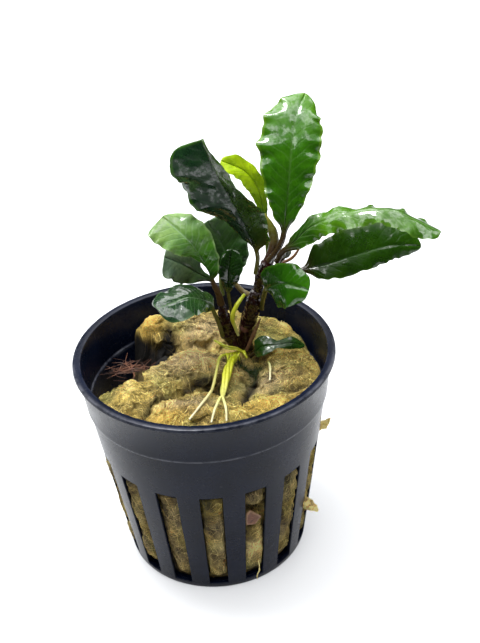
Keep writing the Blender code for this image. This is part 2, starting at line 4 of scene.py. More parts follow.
import math
import random
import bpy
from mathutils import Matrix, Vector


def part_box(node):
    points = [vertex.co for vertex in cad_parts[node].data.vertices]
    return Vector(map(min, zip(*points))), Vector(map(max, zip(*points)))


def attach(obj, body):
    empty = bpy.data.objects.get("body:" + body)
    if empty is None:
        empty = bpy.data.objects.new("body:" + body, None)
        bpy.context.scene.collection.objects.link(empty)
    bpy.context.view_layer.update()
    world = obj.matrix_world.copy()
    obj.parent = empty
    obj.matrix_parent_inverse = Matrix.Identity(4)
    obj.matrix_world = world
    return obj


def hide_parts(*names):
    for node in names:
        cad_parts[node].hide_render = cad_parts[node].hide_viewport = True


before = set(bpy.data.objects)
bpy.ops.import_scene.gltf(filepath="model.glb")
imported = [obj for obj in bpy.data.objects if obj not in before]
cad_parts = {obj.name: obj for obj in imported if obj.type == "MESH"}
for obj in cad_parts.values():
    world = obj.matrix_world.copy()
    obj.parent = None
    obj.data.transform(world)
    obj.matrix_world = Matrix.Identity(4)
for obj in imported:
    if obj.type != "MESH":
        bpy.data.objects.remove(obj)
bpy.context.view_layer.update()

from types import SimpleNamespace

import bpy
import bmesh
import numpy as np
from mathutils import Matrix, Vector, noise

MM = 0.001
PER_MM = 1000
FULL_TURN = 2 * math.pi

# Pot, from its solid and the part's own thicknesses
_, pot_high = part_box("net_pot")
POT_HEIGHT = pot_high.z / MM
RIM_RADIUS = pot_high.x / MM
RIM_INNER_RADIUS = RIM_RADIUS - 1.8
BAND_TOP_RADIUS = RIM_RADIUS - 0.9
BAND_FOOT_RADIUS = RIM_RADIUS - 1.7
BASE_RADIUS = RIM_RADIUS - 7.3
STEP_HEIGHT = 40.2
STEP_WIDTH = 0.4
WALL = 0.85
FLOOR = 0.9
LIP_THICKNESS = 1.0
SLOT_COUNT = 16
SLOT_PITCH = 360 / SLOT_COUNT
FIRST_SLOT_ANGLE = 244.7
SLOT_FOOT = 1.4
SLOT_TOP = 29.2
SLOT_FOOT_WIDTH = 4.0
SLOT_TOP_WIDTH = 4.7
FLOOR_SLOT_COUNT = 8
FLOOR_SLOT_WIDTH = 2.2
FLOOR_SLOT_INNER = 7.5
FLOOR_SLOT_OUTER = 16.5

# Wool lobes are x, y, half length, half width, turn in degrees, top
WOOL_LEVEL = 41.5
WOOL_FOOT = FLOOR + 0.3
WOOL_LOBES = [
    (-3.0, 0.3, 12.0, 7.0, 8, 46.3),
    (-15.5, -8.5, 8.5, 7.0, 20, 46.0),
    (-3.5, -15.0, 11.0, 7.0, 5, 46.2),
    (11.0, -16.5, 11.0, 6.0, 25, 45.4),
    (18.0, -3.0, 7.5, 9.0, 0, 44.8),
    (15.5, 13.0, 8.0, 9.0, 40, 44.6),
    (2.0, 18.0, 13.0, 6.5, -5, 45.3),
    (-9.8, 17.5, 6.0, 6.0, 0, 46.0),
]
HOLLOW = (-18.5, 6.5, 8.0, 12.5, -8)
HOLLOW_DEPTH = 12.0
SEAT = (8.0, 6.0, 4.5)
SEAT_HEIGHT = 43.4
# Creases are lines of x, y, then half width and depth; pits are x, y, half length, half width, depth
WOOL_CREASES = [
    ([(-13.5, -15.5), (-10.7, -11.2), (-9.4, -8.8), (-4.2, -6.1), (-1.5, -4.8), (3, -5.5)], 0.9, 1.5),
    ([(-10.5, 3.2), (-8.5, 6.8), (-4.5, 8.2), (0.5, 7.4), (4, 8)], 1.1, 1.2),
    ([(9.5, 2.5), (10.5, -1.5), (9, -5.5), (6.5, -9)], 1.2, 1.4),
    ([(13, -8.5), (17, -9.5), (21, -8)], 0.9, 1.0),
]
WOOL_PITS = [(-7.6, 13.6, 1.2, 2.4, 3.4), (-10.6, 9.5, 1.3, 1.6, 1.6), (10.5, 0.5, 2.2, 2.6, 1.6)]
WOOL_PEAK = 46.6
# Warm and grey spots are x, y, half length, half width
WARM_SPOTS = [(11, -16, 8, 3), (-9, -17, 5, 3), (-12, 17, 4, 4)]
GREY_SPOTS = [(13, -5, 4.5, 3.5), (-4, 1, 8, 4.5), (-4, -13.5, 6, 2), (1, 15, 6, 4)]
# Below these heights the hollow gets painted shade and the wool is seen from its side
SHADE_LEVEL = 43.9
SIDE_LEVEL = 34
# Places on the wool's side, and how their spots are squashed upright: a painted shadow beside the chip, and
# the yellow bulge below it
PAINTED_SHADOW_BESIDE_CHIP = ((7.3, -23, 20.6), 0.95)
YELLOW_BULGE = ((9, -21.5, 10.5), 0.6)
# Its dent behind the chip and its swelling below, as place beside the chip, height and half sizes
DENT_BEHIND_CHIP = (0, 20.6, 3, 3.2)
SWELL_BELOW_CHIP = (0.3, 10.8, 2, 3.4)
# Loose fibres: how many, points in each, and the lowest height where they lie
TOP_FIBRES = 7000
FIBRES_A_SLOT = 300
FIBRE_KNOTS = 6
FIBRE_FLOOR = 42.2

# Camera, from the photograph's frame
CAMERA_DISTANCE = 174.18
CAMERA_HEIGHT = 165.78
CAMERA_PITCH = 0.5645
CAMERA_YAW = 0.0454
CAMERA_ROLL = -0.0613
SENSOR_WIDTH = 36
FRAME_HEIGHT = 643
FOCAL_PIXELS = 1000

# Leaves: points across half a blade, rings along the blade and the stalk, and what all blades share
LEAF_CELLS = 11
LEAF_RINGS = 110
STALK_RINGS = 14
LEAF_THICKNESS = 0.5
PUCKER = 0.03
VEIN_COUNT = 13
VEIN_SLANT = 2.2


def leaf(path, face, width, **shape):
    """Shape of one leaf.

    path: foot of the stalk, bends, tip.
    face: directions that the upper side looks, from foot to tip.
    width: widest half blades, left and right of the midrib seen from the foot; pairs from base to tip.
    widest: share of the blade's length where it is widest, or one share for each half.
    blunt: pointedness of the base and the tip (0.1 square, 1 pointed); the tip may have one for each half.
    ruffle: height of the edge's waves, or one for each half.
    crimp: height of the small scallops on the edge.
    """
    item = SimpleNamespace(
        path=path,
        face=face,
        width=width,
        stalk=0.3,
        widest=0.5,
        blunt=(0.8, 0.6),
        fold=[(12, 12)],
        curl=[(10, 10)],
        ruffle=0.5,
        waves=6.0,
        phase=0.0,
        stalk_radius=(0.8, 0.6),
        crimp=0.36,
    )
    item.__dict__.update(shape)
    return item


LEAVES = {
    "leaf_top": leaf(
        path=[(15, 3.9, 67.3), (17, 4.2, 69.8), (18.1, 4.9, 72.6), (19.2, 6.4, 79.1), (20.3, 8.6, 86.9),
              (21.8, 12.4, 93.4), (24.4, 17, 96.9)],
        face=[(-0.2, -1, 0.3), (-0.1, -1, 0.3), (-0.1, -1, 0.45), (-0.1, -1, 1)],
        width=[(6, 5), (6.6, 5.6), (6.9, 6.5)], stalk=0.17, widest=0.62, blunt=(0.5, 0.58),
        fold=[(25, 25), (8, 8), (5, 5)], curl=[(-10, -10), (-20, -20), (-25, -25)],
        stalk_radius=(0.6, 0.6)),
    "leaf_upper_left": leaf(
        path=[(12, 4.5, 64.5), (12.5, 4.3, 67.8), (11.6, 4.2, 71.4), (9.6, 4.3, 76.9), (7.1, 4, 82.4),
              (4.6, 3.6, 88.9), (3, 4.6, 94)],
        face=[(-0.6, -0.7, 0.55), (-0.5, -0.75, 0.55), (-0.3, -0.85, 0.45)],
        width=[(7, 5), (7.2, 8.2), (8.4, 7.2), (9.4, 2.6)], stalk=0.15, widest=(0.7, 0.34),
        blunt=(0.56, (0.2, 0.7)),
        fold=[(10, 25), (8, 42), (0, 50)], curl=[(-20, -10)], ruffle=(0.9, 0.4), waves=2.8,
        phase=1.1,
        stalk_radius=(0.45, 0.45)),
    "young_leaf": leaf(
        path=[(15, 8.5, 64.5), (15, 9, 68), (14.5, 9, 72.5), (14.5, 10, 76.5), (13.5, 10.5, 80.5),
              (11, 11, 84), (6.5, 11, 86.5)],
        face=[(-0.3, -0.9, 0.5), (-0.3, -0.8, 0.7)],
        width=[(0.9, 0.8), (1.2, 1), (2.2, 2.3), (2.7, 3)], stalk=0.14, widest=0.6, blunt=(0.4, 0.35),
        fold=[(15, 20)], curl=[(0, 0)], ruffle=0.2, waves=4, stalk_radius=(0.55, 0.5)),
    "leaf_right_upper": leaf(
        path=[(16.5, 2.5, 67.8), (17.3, 2, 69.6), (19.5, 1, 72), (23.5, 0, 76), (30, -2, 79),
              (37.5, -4, 80), (47, -7, 76)],
        face=[(-0.4, -0.5, 0.8), (-0.3, -0.6, 0.8), (-0.05, -0.1, 1), (0.2, -0.15, 1)],
        width=[(2.4, 4.6), (2.6, 3.3), (3.2, 3.2), (4.2, 5.4)], stalk=0.08, widest=0.56,
        blunt=(0.38, 0.35),
        fold=[(25, 10), (-22, -15), (-15, -12)], curl=[(0, -20), (-10, -15)],
        ruffle=0.55, phase=0.5, stalk_radius=(0.55, 0.6)),
    "leaf_right_lower": leaf(
        path=[(15.6, 4.8, 63), (18, 4.9, 63), (21.5, 4, 64), (27, 3, 65.5), (32.5, 3, 67), (39.5, 4, 68),
              (46.5, 5.5, 66.5)],
        face=[(-0.1, -0.8, 0.6), (0, -0.85, 0.5)],
        width=[(5.8, 3.7), (5.6, 3.6)], stalk=0.2, widest=0.46, blunt=(0.5, 0.5),
        fold=[(10, 10), (0, 0)], curl=[(-10, -10), (-10, -20)],
        ruffle=0.3, waves=4, phase=0.5, stalk_radius=(0.7, 0.6)),
    "leaf_round_front": leaf(
        path=[(13, 5.5, 55), (13.3, 3.6, 58.6), (14.2, 1.2, 62.2), (17.6, -1.8, 64.4), (22, -3, 63.3)],
        face=[(-0.8, -0.6, 0.3), (-0.1, -0.87, 0.55), (0.1, -0.87, 0.45)],
        width=[(4.3, 5)], stalk=0.42, widest=0.48, blunt=(0.35, 0.35),
        fold=[(10, 10), (5, 5)], curl=[(-8, -20), (-10, -28)], crimp=0.15, ruffle=0.35, waves=2.4, phase=2,
        stalk_radius=(0.5, 0.6)),
    "leaf_left_pale": leaf(
        path=[(4.3, 5.6, 57.2), (4, 5, 59.5), (3, 4, 63), (2, 3.5, 67), (0, 3, 71.5), (-2, 3, 74.5),
              (-6, 5.5, 78)],
        face=[(-0.3, -0.9, 0.3), (-0.3, -0.9, 0.4), (-0.2, -0.6, 0.8), (-0.2, -0.4, 1)],
        width=[(3.8, 4), (4.2, 4.2), (5.4, 5.6)], stalk=0.27, widest=(0.84, 0.56),
        blunt=(0.5, (0.12, 0.6)),
        fold=[(8, 24), (5, 20), (0, 5)], curl=[(0, 0), (-10, -20)], ruffle=0.4, waves=5,
        stalk_radius=(0.8, 0.5)),
    "leaf_left_back": leaf(
        path=[(4.5, 8.5, 53.5), (4, 9, 57), (3, 9.5, 60), (0, 9, 62.5), (-3, 8, 65.5), (-6.5, 7, 68)],
        face=[(-0.2, -0.8, 0.6), (-0.2, -0.7, 0.8)],
        width=[(3.6, 3.2), (4.4, 4.2)], widest=0.74, blunt=(0.6, 0.16),
        fold=[(10, 5)], curl=[(-10, -20)], ruffle=0.3, waves=4, phase=1, stalk_radius=(0.55, 0.45)),
    "leaf_left_low": leaf(
        path=[(4.1, 3.9, 50.3), (3.3, 3, 54.5), (1.5, 1, 60), (-2, -1, 62.5), (-5, -3, 63), (-8.5, -5, 63)],
        face=[(-0.2, -0.6, 0.8), (-0.1, -0.5, 0.9), (-0.3, -0.5, 0.9)],
        width=[(3.6, 3.8), (4.3, 4.8), (5.2, 5.3)], stalk=0.33, widest=0.62, blunt=(0.42, 0.28),
        fold=[(25, 10), (0, 0)], curl=[(-20, -30), (-30, -40)], crimp=0.15, ruffle=0.4, waves=3, phase=2.5,
        stalk_radius=(0.5, 0.45)),
    "leaf_left_upright": leaf(
        path=[(6.5, 7, 53.6), (6.1, 6.2, 59.5), (6.5, 6.5, 63.5), (7.5, 8, 68)],
        face=[(0, -1, 0.3), (0, -0.9, 0.5)],
        width=[(2.3, 2.8)], stalk=0.36, widest=0.62, blunt=(0.6, 0.35),
        fold=[(30, 30), (15, 15)], curl=[(0, 0)], crimp=0.15, ruffle=0.2, waves=3, phase=2.5,
        stalk_radius=(0.35, 0.4)),
    "leaf_back_left": leaf(
        path=[(11, 9, 56), (9, 10, 57), (7, 11.5, 60), (6, 13, 65.5), (3, 14, 72)],
        face=[(-0.2, -0.9, 0.4), (-0.2, -0.7, 0.7)],
        width=[(3.4, 4.8), (3.4, 5.8)], widest=0.52, blunt=(0.5, 0.35),
        fold=[(10, 5)], curl=[(-10, -20)], ruffle=0.3, waves=4, phase=1,
        stalk_radius=(0.65, 0.5)),
    "leaf_base_right": leaf(
        path=[(10.3, 3.8, 44.2), (11.2, 3.2, 45.4), (12.5, 2.5, 47), (15.5, 2, 47.5), (18.5, 2, 47.5),
              (21.5, 3, 46)],
        face=[(-0.1, -0.5, 0.9), (0.1, -0.5, 0.9)],
        width=[(2.6, 2.6), (2.9, 2.7), (0.9, 1), (1.9, 1.5), (1.6, 1.5)], stalk=0.08, blunt=(0.42, 0.4),
        fold=[(15, 15), (10, 10)], curl=[(0, 0), (-20, -30)], crimp=0.15, ruffle=0.3, waves=2.4, phase=4,
        stalk_radius=(0.45, 0.45)),
    "leaf_small_behind": leaf(
        path=[(17.3, 8.2, 64.2), (18.5, 8, 65.4), (19, 7.6, 68.5)],
        face=[(0.2, -0.9, 0.4)],
        width=[(1, 1)],
        fold=[(20, 20)], curl=[(0, 0)], crimp=0.15, ruffle=0.1, waves=3, phase=1, stalk_radius=(0.4, 0.4)),
}

# Finish of each leaf: tones from base to tip, tone of the right half, stalk, wetness
DARK_STALK = (0.031, 0.019, 0.0068)
OLIVE_STALK = (0.082, 0.078, 0.014)
RED_STALK = (0.068, 0.037, 0.014)
GREEN_STALK = (0.095, 0.15, 0.01)
LEAF_TONES = {
    "leaf_top": dict(
        tones=[(0, (0.0095, 0.037, 0.0014)), (0.25, (0.015, 0.071, 0.0014)), (0.6, (0.019, 0.088, 0.002)),
               (1, (0.041, 0.13, 0.0082))],
        midrib=(0.048, 0.12, 0.02), rim=(0.10, 0.20, 0.014), stalk=DARK_STALK, wet=0.5),
    "leaf_upper_left": dict(
        tones=[(0, (0.0027, 0.011, 0.0027)), (0.5, (0.0041, 0.019, 0.0068)), (1, (0.0054, 0.023, 0.0082))],
        right=(3.6, 2.1, 0.5), midrib=(0.02, 0.054, 0.02), rim=(0.034, 0.10, 0.0068), stalk=OLIVE_STALK,
        wet=0.5),
    "young_leaf": dict(
        tones=[(0, (0.01, 0.03, 0.002)), (0.3, (0.03, 0.085, 0.003)), (0.55, (0.18, 0.31, 0.006)),
               (1, (0.28, 0.42, 0.008))],
        midrib=(0.34, 0.42, 0.034), rim=(0.31, 0.45, 0.02), stalk=GREEN_STALK, wet=0.3),
    "leaf_right_upper": dict(
        tones=[(0, (0.0068, 0.027, 0.0014)), (0.2, (0.0095, 0.041, 0.0014)), (0.34, (0.034, 0.11, 0.0027)),
               (0.6, (0.034, 0.099, 0.0068)), (1, (0.024, 0.082, 0.0068))],
        midrib=(0.095, 0.18, 0.054), rim=(0.061, 0.14, 0.014), stalk=DARK_STALK, wet=0.55),
    "leaf_right_lower": dict(
        tones=[(0, (0.0088, 0.024, 0.001)), (0.5, (0.0082, 0.034, 0.001)), (1, (0.012, 0.048, 0.001))],
        midrib=(0.014, 0.048, 0.0041), rim=(0.027, 0.068, 0.0027), stalk=DARK_STALK, wet=0.45),
    "leaf_round_front": dict(
        tones=[(0, (0.0048, 0.024, 0.0014)), (0.5, (0.0082, 0.048, 0.001)), (1, (0.019, 0.099, 0.0014))],
        midrib=(0.024, 0.082, 0.0068), rim=(0.034, 0.10, 0.0068), stalk=OLIVE_STALK, wet=0.62),
    "leaf_left_pale": dict(
        tones=[(0, (0.014, 0.068, 0.0014)), (0.4, (0.024, 0.10, 0.0034)), (0.65, (0.068, 0.16, 0.034)),
               (1, (0.12, 0.21, 0.078))],
        midrib=(0.18, 0.29, 0.14), rim=(0.15, 0.24, 0.082), stalk=RED_STALK, wet=0.35),
    "leaf_left_back": dict(
        tones=[(0, (0.0061, 0.024, 0.0027)), (0.5, (0.034, 0.065, 0.029)), (1, (0.082, 0.125, 0.082))],
        midrib=(0.034, 0.068, 0.034), rim=(0.061, 0.10, 0.054), stalk=OLIVE_STALK, wet=0.3),
    "leaf_left_low": dict(
        tones=[(0, (0.024, 0.061, 0.012)), (0.5, (0.0088, 0.031, 0.0082)), (1, (0.0088, 0.027, 0.014))],
        midrib=(0.068, 0.12, 0.054), rim=(0.048, 0.095, 0.034), stalk=OLIVE_STALK, wet=0.62),
    "leaf_left_upright": dict(
        tones=[(0, (0.0041, 0.017, 0.0014)), (1, (0.0041, 0.019, 0.002))],
        midrib=(0.014, 0.041, 0.0068), rim=(0.014, 0.048, 0.0068), stalk=OLIVE_STALK, wet=0.8),
    "leaf_back_left": dict(
        tones=[(0, (0.0041, 0.016, 0.002)), (0.4, (0.0082, 0.031, 0.0054)), (0.7, (0.02, 0.05, 0.014)),
               (1, (0.041, 0.078, 0.034))],
        midrib=(0.048, 0.088, 0.041), rim=(0.061, 0.11, 0.048), stalk=(0.11, 0.082, 0.027), wet=0.4),
    "leaf_base_right": dict(
        tones=[(0, (0.0068, 0.027, 0.0027)), (0.5, (0.0082, 0.031, 0.0027)), (1, (0.011, 0.041, 0.0041))],
        midrib=(0.027, 0.068, 0.02), rim=(0.02, 0.061, 0.01), stalk=DARK_STALK, wet=0.52),
    "leaf_small_behind": dict(
        tones=[(0, (0.068, 0.082, 0.068)), (1, (0.23, 0.26, 0.27))],
        midrib=(0.27, 0.29, 0.29), rim=(0.14, 0.15, 0.14), stalk=DARK_STALK, wet=0.9),
}

# Stems: path, radii from foot to tip, rings of old leaf stalks as place along the stem and height
STEMS = {
    "main_stem": ([(9, 8, 44), (9.5, 8, 48), (11, 7, 54), (12, 6.5, 58.5)], (1.7, 1.7, 1.75, 1.2),
                  [(0.2, 0.10), (0.47, 0.13), (0.83, 0.08)]),
    "upper_stem": ([(12.5, 6.5, 59), (13, 6, 62), (14.5, 5.5, 65.5)], (0.9, 1.1, 1.3),
                   [(0.25, 0.10), (0.7, 0.12)]),
    "side_stem": ([(6.5, 5.5, 46.5), (5.5, 6, 49.5), (5, 6, 52.5), (4.5, 6, 56)], (1.3, 1.65, 1.5, 0.8),
                  [(0.3, 0.1), (0.62, 0.12)]),
}
LEAF_SCAR = ((9.1, 6.5, 49.3), 1.0)
# Shoots: path, radii and tones from foot to tip
SHOOTS = {
    "new_shoot": ([(15, 6, 66), (16, 6, 69), (16, 6.5, 72), (14.5, 7, 76)], (1.1, 1.05, 0.95, 0.25),
                  [(0, (0.034, 0.01, 0.0054)), (0.4, (0.068, 0.037, 0.01)), (0.75, (0.15, 0.16, 0.027)),
                   (1, (0.31, 0.31, 0.041))]),
    "side_spear": ([(4.9, 6.7, 58.8), (4.7, 6.9, 61.8), (4.6, 7.2, 64.9)], (0.45, 0.42, 0.1),
                   [(0, (0.11, 0.14, 0.02)), (0.5, (0.24, 0.29, 0.068)), (1, (0.34, 0.34, 0.15))]),
    "dead_stalk": ([(17.2, 9.4, 63), (20, 9.4, 64), (22, 9, 67)], (0.3, 0.35, 0.2),
                   [(0, (0.17, 0.068, 0.027)), (1, (0.34, 0.18, 0.082))]),
    "dry_sheath": ([(9.5, 5.5, 45), (11, 5.5, 48.5), (12.5, 5, 52.5)], (0.35, 0.5, 0.15),
                   [(0, (0.14, 0.068, 0.034)), (1, (0.26, 0.15, 0.075))]),
}
# Roots: path and radii from start to tip; in the crown and the bundle, the radii of each strand
ROOTS = {
    "root_crown": ([(2.4, 6.2, 47.2), (4.6, 3.8, 47), (7, 3.3, 46.4), (8.4, 3.2, 45.4), (9.2, 2.6, 44.4)],
                    (0.09, 0.14, 0.17, 0.15, 0.1)),
    "stem_root": ([(9, 4.5, 58.5), (7.5, 3.5, 57), (6.5, 3, 54.5), (7, 3, 52), (7.5, 3, 50)],
                   (0.35, 0.45, 0.5, 0.4, 0.25)),
    "root_left": ([(4.3, 3.2, 45.2), (3.2, 0.5, 46.4), (2.4, -4.2, 47.2), (1.2, -9, 46), (0.2, -13, 47),
                   (-4, -19.2, 46)], (0.3, 0.35, 0.3, 0.3, 0.3, 0.2)),
    "root_bundle": ([(6.6, 2.4, 45.2), (5.6, -0.8, 46.2), (4.6, -4.6, 46.8), (3.2, -11, 46.2),
                     (2.8, -14.5, 46.8)], (0.36, 0.4, 0.42, 0.36, 0.24)),
    "root_fork_left": ([(2.2, -15.2, 47.2), (1.2, -17.5, 46.8), (0.2, -20, 45.4)], (0.3, 0.3, 0.2)),
    "root_fork_right": ([(3, -15.4, 47.2), (3.3, -17.5, 46.8), (3.2, -20, 45.4)], (0.3, 0.3, 0.2)),
    "root_right": ([(13.5, 0, 44.3), (13.5, -3, 45.3), (13, -7, 44.8)], (0.25, 0.25, 0.18)),
}
# Their tones from start to tip, and which roots have them; the crown and the bundle are yellow-green
ROOT_TONES = {
    "root_yellow_green": [(0, (0.40, 0.45, 0.014)), (0.6, (0.48, 0.49, 0.036)), (1, (0.53, 0.52, 0.19))],
    "root_cream": [(0, (0.40, 0.45, 0.029)), (0.45, (0.49, 0.46, 0.13)), (1, (0.59, 0.53, 0.36))],
    "root_tip_cream": [(0, (0.50, 0.50, 0.14)), (1, (0.60, 0.56, 0.37))],
}
ROOT_SKINS = {
    "root_left": "root_cream",
    "root_fork_left": "root_tip_cream",
    "root_fork_right": "root_tip_cream",
    "root_right": "root_tip_cream",
    "stem_root": "root_yellow_green",
}
# Tufts in the slots: path and radii from foot to tip
WOOL_TUFTS = {
    "wool_tuft_high": ([(23.1, -1.1, 27), (24.8, -1.3, 27.4), (26.4, -1.2, 29)], (1.1, 0.9, 0.2)),
    "wool_tuft_low": ([(19.2, -8.3, 11.6), (20.7, -9, 11.2), (22.2, -9.5, 9.8)], (1.3, 1.1, 0.3)),
}
# Clump of dead roots: its middle, and the ends of its long ones
TUFT_CENTRE = (-16.6, 8.8, 39.8)
TUFT_ARMS = [(-21.6, 5.4, 40.2), (-16, 3.6, 40.2), (-13.6, 7, 40.6), (-14.2, 11, 40.8),
             (-17.2, 14.2, 40.6), (-20.6, 11, 40.4)]
# Root that hangs out of a front slot
THIN_ROOT = [(7.6, -22.2, 9.6), (7.9, -22.3, 7), (7.2, -21.9, 4.5), (7.4, -21.4, 2.6)]
THIN_ROOT_RADIUS = 0.2
# Bark chip: angle round the pot, height of its middle, width, depth and height, and outline in shares of them
CHIP_ANGLE = -70.9
CHIP_HEIGHT = 20.8
CHIP_SIZE = (3.5, 0.5, 4.9)
CHIP_OUTLINE = [(-0.5, 0.33), (-0.25, 0.5), (0.5, -0.11), (0.09, -0.5), (-0.5, -0.36)]


# Nodes and materials

class Value:
    """Output of a shader node; sums, differences and products with it add Math nodes."""

    def __init__(self, nodes, socket):
        self.nodes = nodes
        self.socket = socket

    def __add__(self, other):
        return self.nodes.maths("ADD", self, other)

    def __sub__(self, other):
        return self.nodes.maths("SUBTRACT", self, other)

    def __rsub__(self, other):
        return self.nodes.maths("SUBTRACT", other, self)

    def __mul__(self, other):
        return self.nodes.maths("MULTIPLY", self, other)


class Nodes:
    """Short ways to add nodes to a shader tree."""

    def __init__(self, tree):
        self.tree = tree
        self.shader = tree.nodes.get("Principled BSDF")

    def outputs(self, node):
        return {socket.name: Value(self, socket) for socket in node.outputs}

    def fill(self, node, inputs):
        """Link or set the inputs of a node."""
        for key, value in inputs.items():
            socket = node.inputs[key]
            if isinstance(value, Value):
                self.tree.links.new(value.socket, socket)
            elif socket.type == "RGBA":
                socket.default_value = (*value, 1)
            else:
                socket.default_value = value

    def add(self, kind, inputs=None, out=0, **settings):
        """Output of a new node; settings are the node's own options."""
        node = self.tree.nodes.new("ShaderNode" + kind)
        for key, value in settings.items():
            setattr(node, key, value)
        self.fill(node, inputs or {})
        return Value(self, node.outputs[out])

    def use(self, group, inputs=None):
        """Outputs of a node group placed here."""
        return self.outputs(self.add("Group", inputs, node_tree=group).socket.node)

    def maths(self, operation, *values):
        return self.add("Math", dict(enumerate(values)), operation=operation)

    def blend(self, share, first, second, how="MIX"):
        """Colour between first and second."""
        return self.add("Mix", {0: share, 6: first, 7: second}, 2, data_type="RGBA", blend_type=how)

    def tint(self, colour, other, share=1.0):
        """Colour multiplied by another, over a share."""
        return self.blend(share, colour, other, "MULTIPLY")

    def step(self, value, low, high):
        """Smooth step from 0 at low to 1 at high."""
        return self.add("MapRange", {"Value": value, "From Min": low, "From Max": high},
                        interpolation_type="SMOOTHSTEP")

    def ramp(self, share, stops):
        """Colour of a ramp with stops of position and colour."""
        colour = self.add("ValToRGB", {"Fac": share})
        points = colour.socket.node.color_ramp.elements
        while len(points) < len(stops):
            points.new(0.5)
        for point, (position, tone) in zip(points, stops):
            point.position = position
            point.color = (*tone, 1)
        return colour

    def grain(self, size, detail=2, rough=0.5, stretch=None, distortion=0):
        """Noise whose lumps are about size millimetres wide; stretch scales it along each axis."""
        place = self.add("TexCoord", out="Object")
        if stretch:
            place = self.add("Mapping", {"Vector": place, "Scale": stretch})
        scale = self.maths("DIVIDE", PER_MM, size) if isinstance(size, Value) else PER_MM / size
        return self.add("TexNoise", {"Vector": place, "Scale": scale, "Detail": detail, "Roughness": rough,
                                     "Distortion": distortion})

    def patches(self, low, high, *settings):
        """Grain sharpened into patches between two of its levels."""
        return self.step(self.grain(*settings), low, high)

    def reading(self, name):
        """A number kept on the mesh's points."""
        return self.add("Attribute", out="Fac", attribute_name=name)

    def bump(self, height, distance):
        """Relief of distance millimetres."""
        normal = self.add("Bump", {"Height": height, "Distance": distance * MM, "Strength": 1.0})
        self.fill(self.shader, {"Normal": normal})

    def let_through(self, colour, share):
        """Some light passes through the piece."""
        solid = Value(self, self.shader.outputs[0])
        through = self.add("BsdfTranslucent", {"Color": colour})
        both = self.add("MixShader", {"Fac": share, 1: solid, 2: through})
        self.fill(self.tree.nodes["Material Output"], {"Surface": both})


def new_group(name, inputs):
    """Nodes of a new group with named inputs, values or colours, and what is given to it."""
    group = bpy.data.node_groups.new(name, "ShaderNodeTree")
    for key, value in inputs.items():
        kind = "NodeSocketColor" if isinstance(value, tuple) else "NodeSocketFloat"
        socket = group.interface.new_socket(name=key, in_out="INPUT", socket_type=kind)
        socket.default_value = (*value, 1) if isinstance(value, tuple) else value
    t = Nodes(group)
    return t, t.outputs(group.nodes.new("NodeGroupInput"))


def close_group(t, **outputs):
    """The group with its named outputs."""
    for key in outputs:
        kind = "NodeSocketColor" if key == "Color" else "NodeSocketFloat"
        t.tree.interface.new_socket(name=key, in_out="OUTPUT", socket_type=kind)
    t.fill(t.tree.nodes.new("NodeGroupOutput"), outputs)
    return t.tree


def vein_group():
    """Midrib, side veins and rim of a blade, from the places kept on its points."""
    t, _ = new_group("leaf_veins", {})
    along = t.reading("along")
    across = t.maths("ABSOLUTE", t.reading("across"))
    row = t.maths("PINGPONG", along * VEIN_COUNT - across * VEIN_SLANT + t.grain(2.5) * 0.7, 0.5)
    midrib = t.step(across, 0.07, 0.0)
    veins = t.step(row, 0.16, 0.0) * t.step(across, 0.95, 0.55)
    rim = t.maths("MAXIMUM", t.step(across, 0.87, 0.96), t.step(along, 0.97, 1.0))
    return close_group(t, Midrib=midrib, Veins=veins, Rim=rim, Height=1.0 - (veins * 0.35 + midrib * 0.6))


def leaf_colour_group(veins):
    """Colour of a blade and its stalk from its ground tone and the tones of its veins and rim."""
    t, given = new_group("leaf_colour", {
        "Ground": (0.02, 0.1, 0.02), "Midrib Tone": (0.1, 0.2, 0.05), "Rim Tone": (0.1, 0.3, 0.03),
        "Stalk Tone": (0.06, 0.05, 0.02)})
    lines = t.use(veins)
    colour = t.tint(given["Ground"], (2.1, 1.75, 1.2), t.patches(0.3, 0.7, 3.5, 4, 0.6, None, 0.6) * 0.6)
    colour = t.tint(colour, (0.55, 0.6, 0.6), t.patches(0.4, 0.75, 0.5) * 0.35)
    colour = t.blend(lines["Veins"] * 0.38, colour, given["Midrib Tone"])
    colour = t.blend(lines["Midrib"] * 0.75, colour, given["Midrib Tone"])
    colour = t.blend(lines["Rim"] * 0.75, colour, given["Rim Tone"])
    pale = t.blend(0.35, t.tint(colour, (1.9, 1.6, 1.9)), (0.07, 0.115, 0.05))
    colour = t.blend(t.reading("below"), colour, t.blend(0.75, colour, pale))
    return close_group(t, Color=t.blend(t.reading("stalk"), colour, given["Stalk Tone"]))


def wet_group():
    """Film of water in patches: roughness and a little relief that breaks up reflections."""
    t, given = new_group(
        "wet_film", {"Patch Size": 4.0, "Wet Share": 0.5, "Wet Roughness": 0.12, "Dry Roughness": 0.4})
    edge = 0.78 - given["Wet Share"] * 0.56
    wet = t.step(t.grain(given["Patch Size"], 5, 0.62, None, 0.4), edge - 0.06, edge + 0.06)
    wet = wet * (t.patches(0.36, 0.58, 0.7, 4, 0.7) * 0.75 + 0.25)
    rough = given["Dry Roughness"] + wet * (given["Wet Roughness"] - given["Dry Roughness"])
    place = t.add("TexCoord", out="Object")
    beads = t.add("TexVoronoi", {"Vector": place, "Scale": PER_MM / 1.1}, feature="SMOOTH_F1")
    height = t.grain(0.7, 3, 0.6) * 0.6 + (1.0 - beads) * 0.4
    return close_group(t, Wet=wet, Roughness=rough, Height=height)


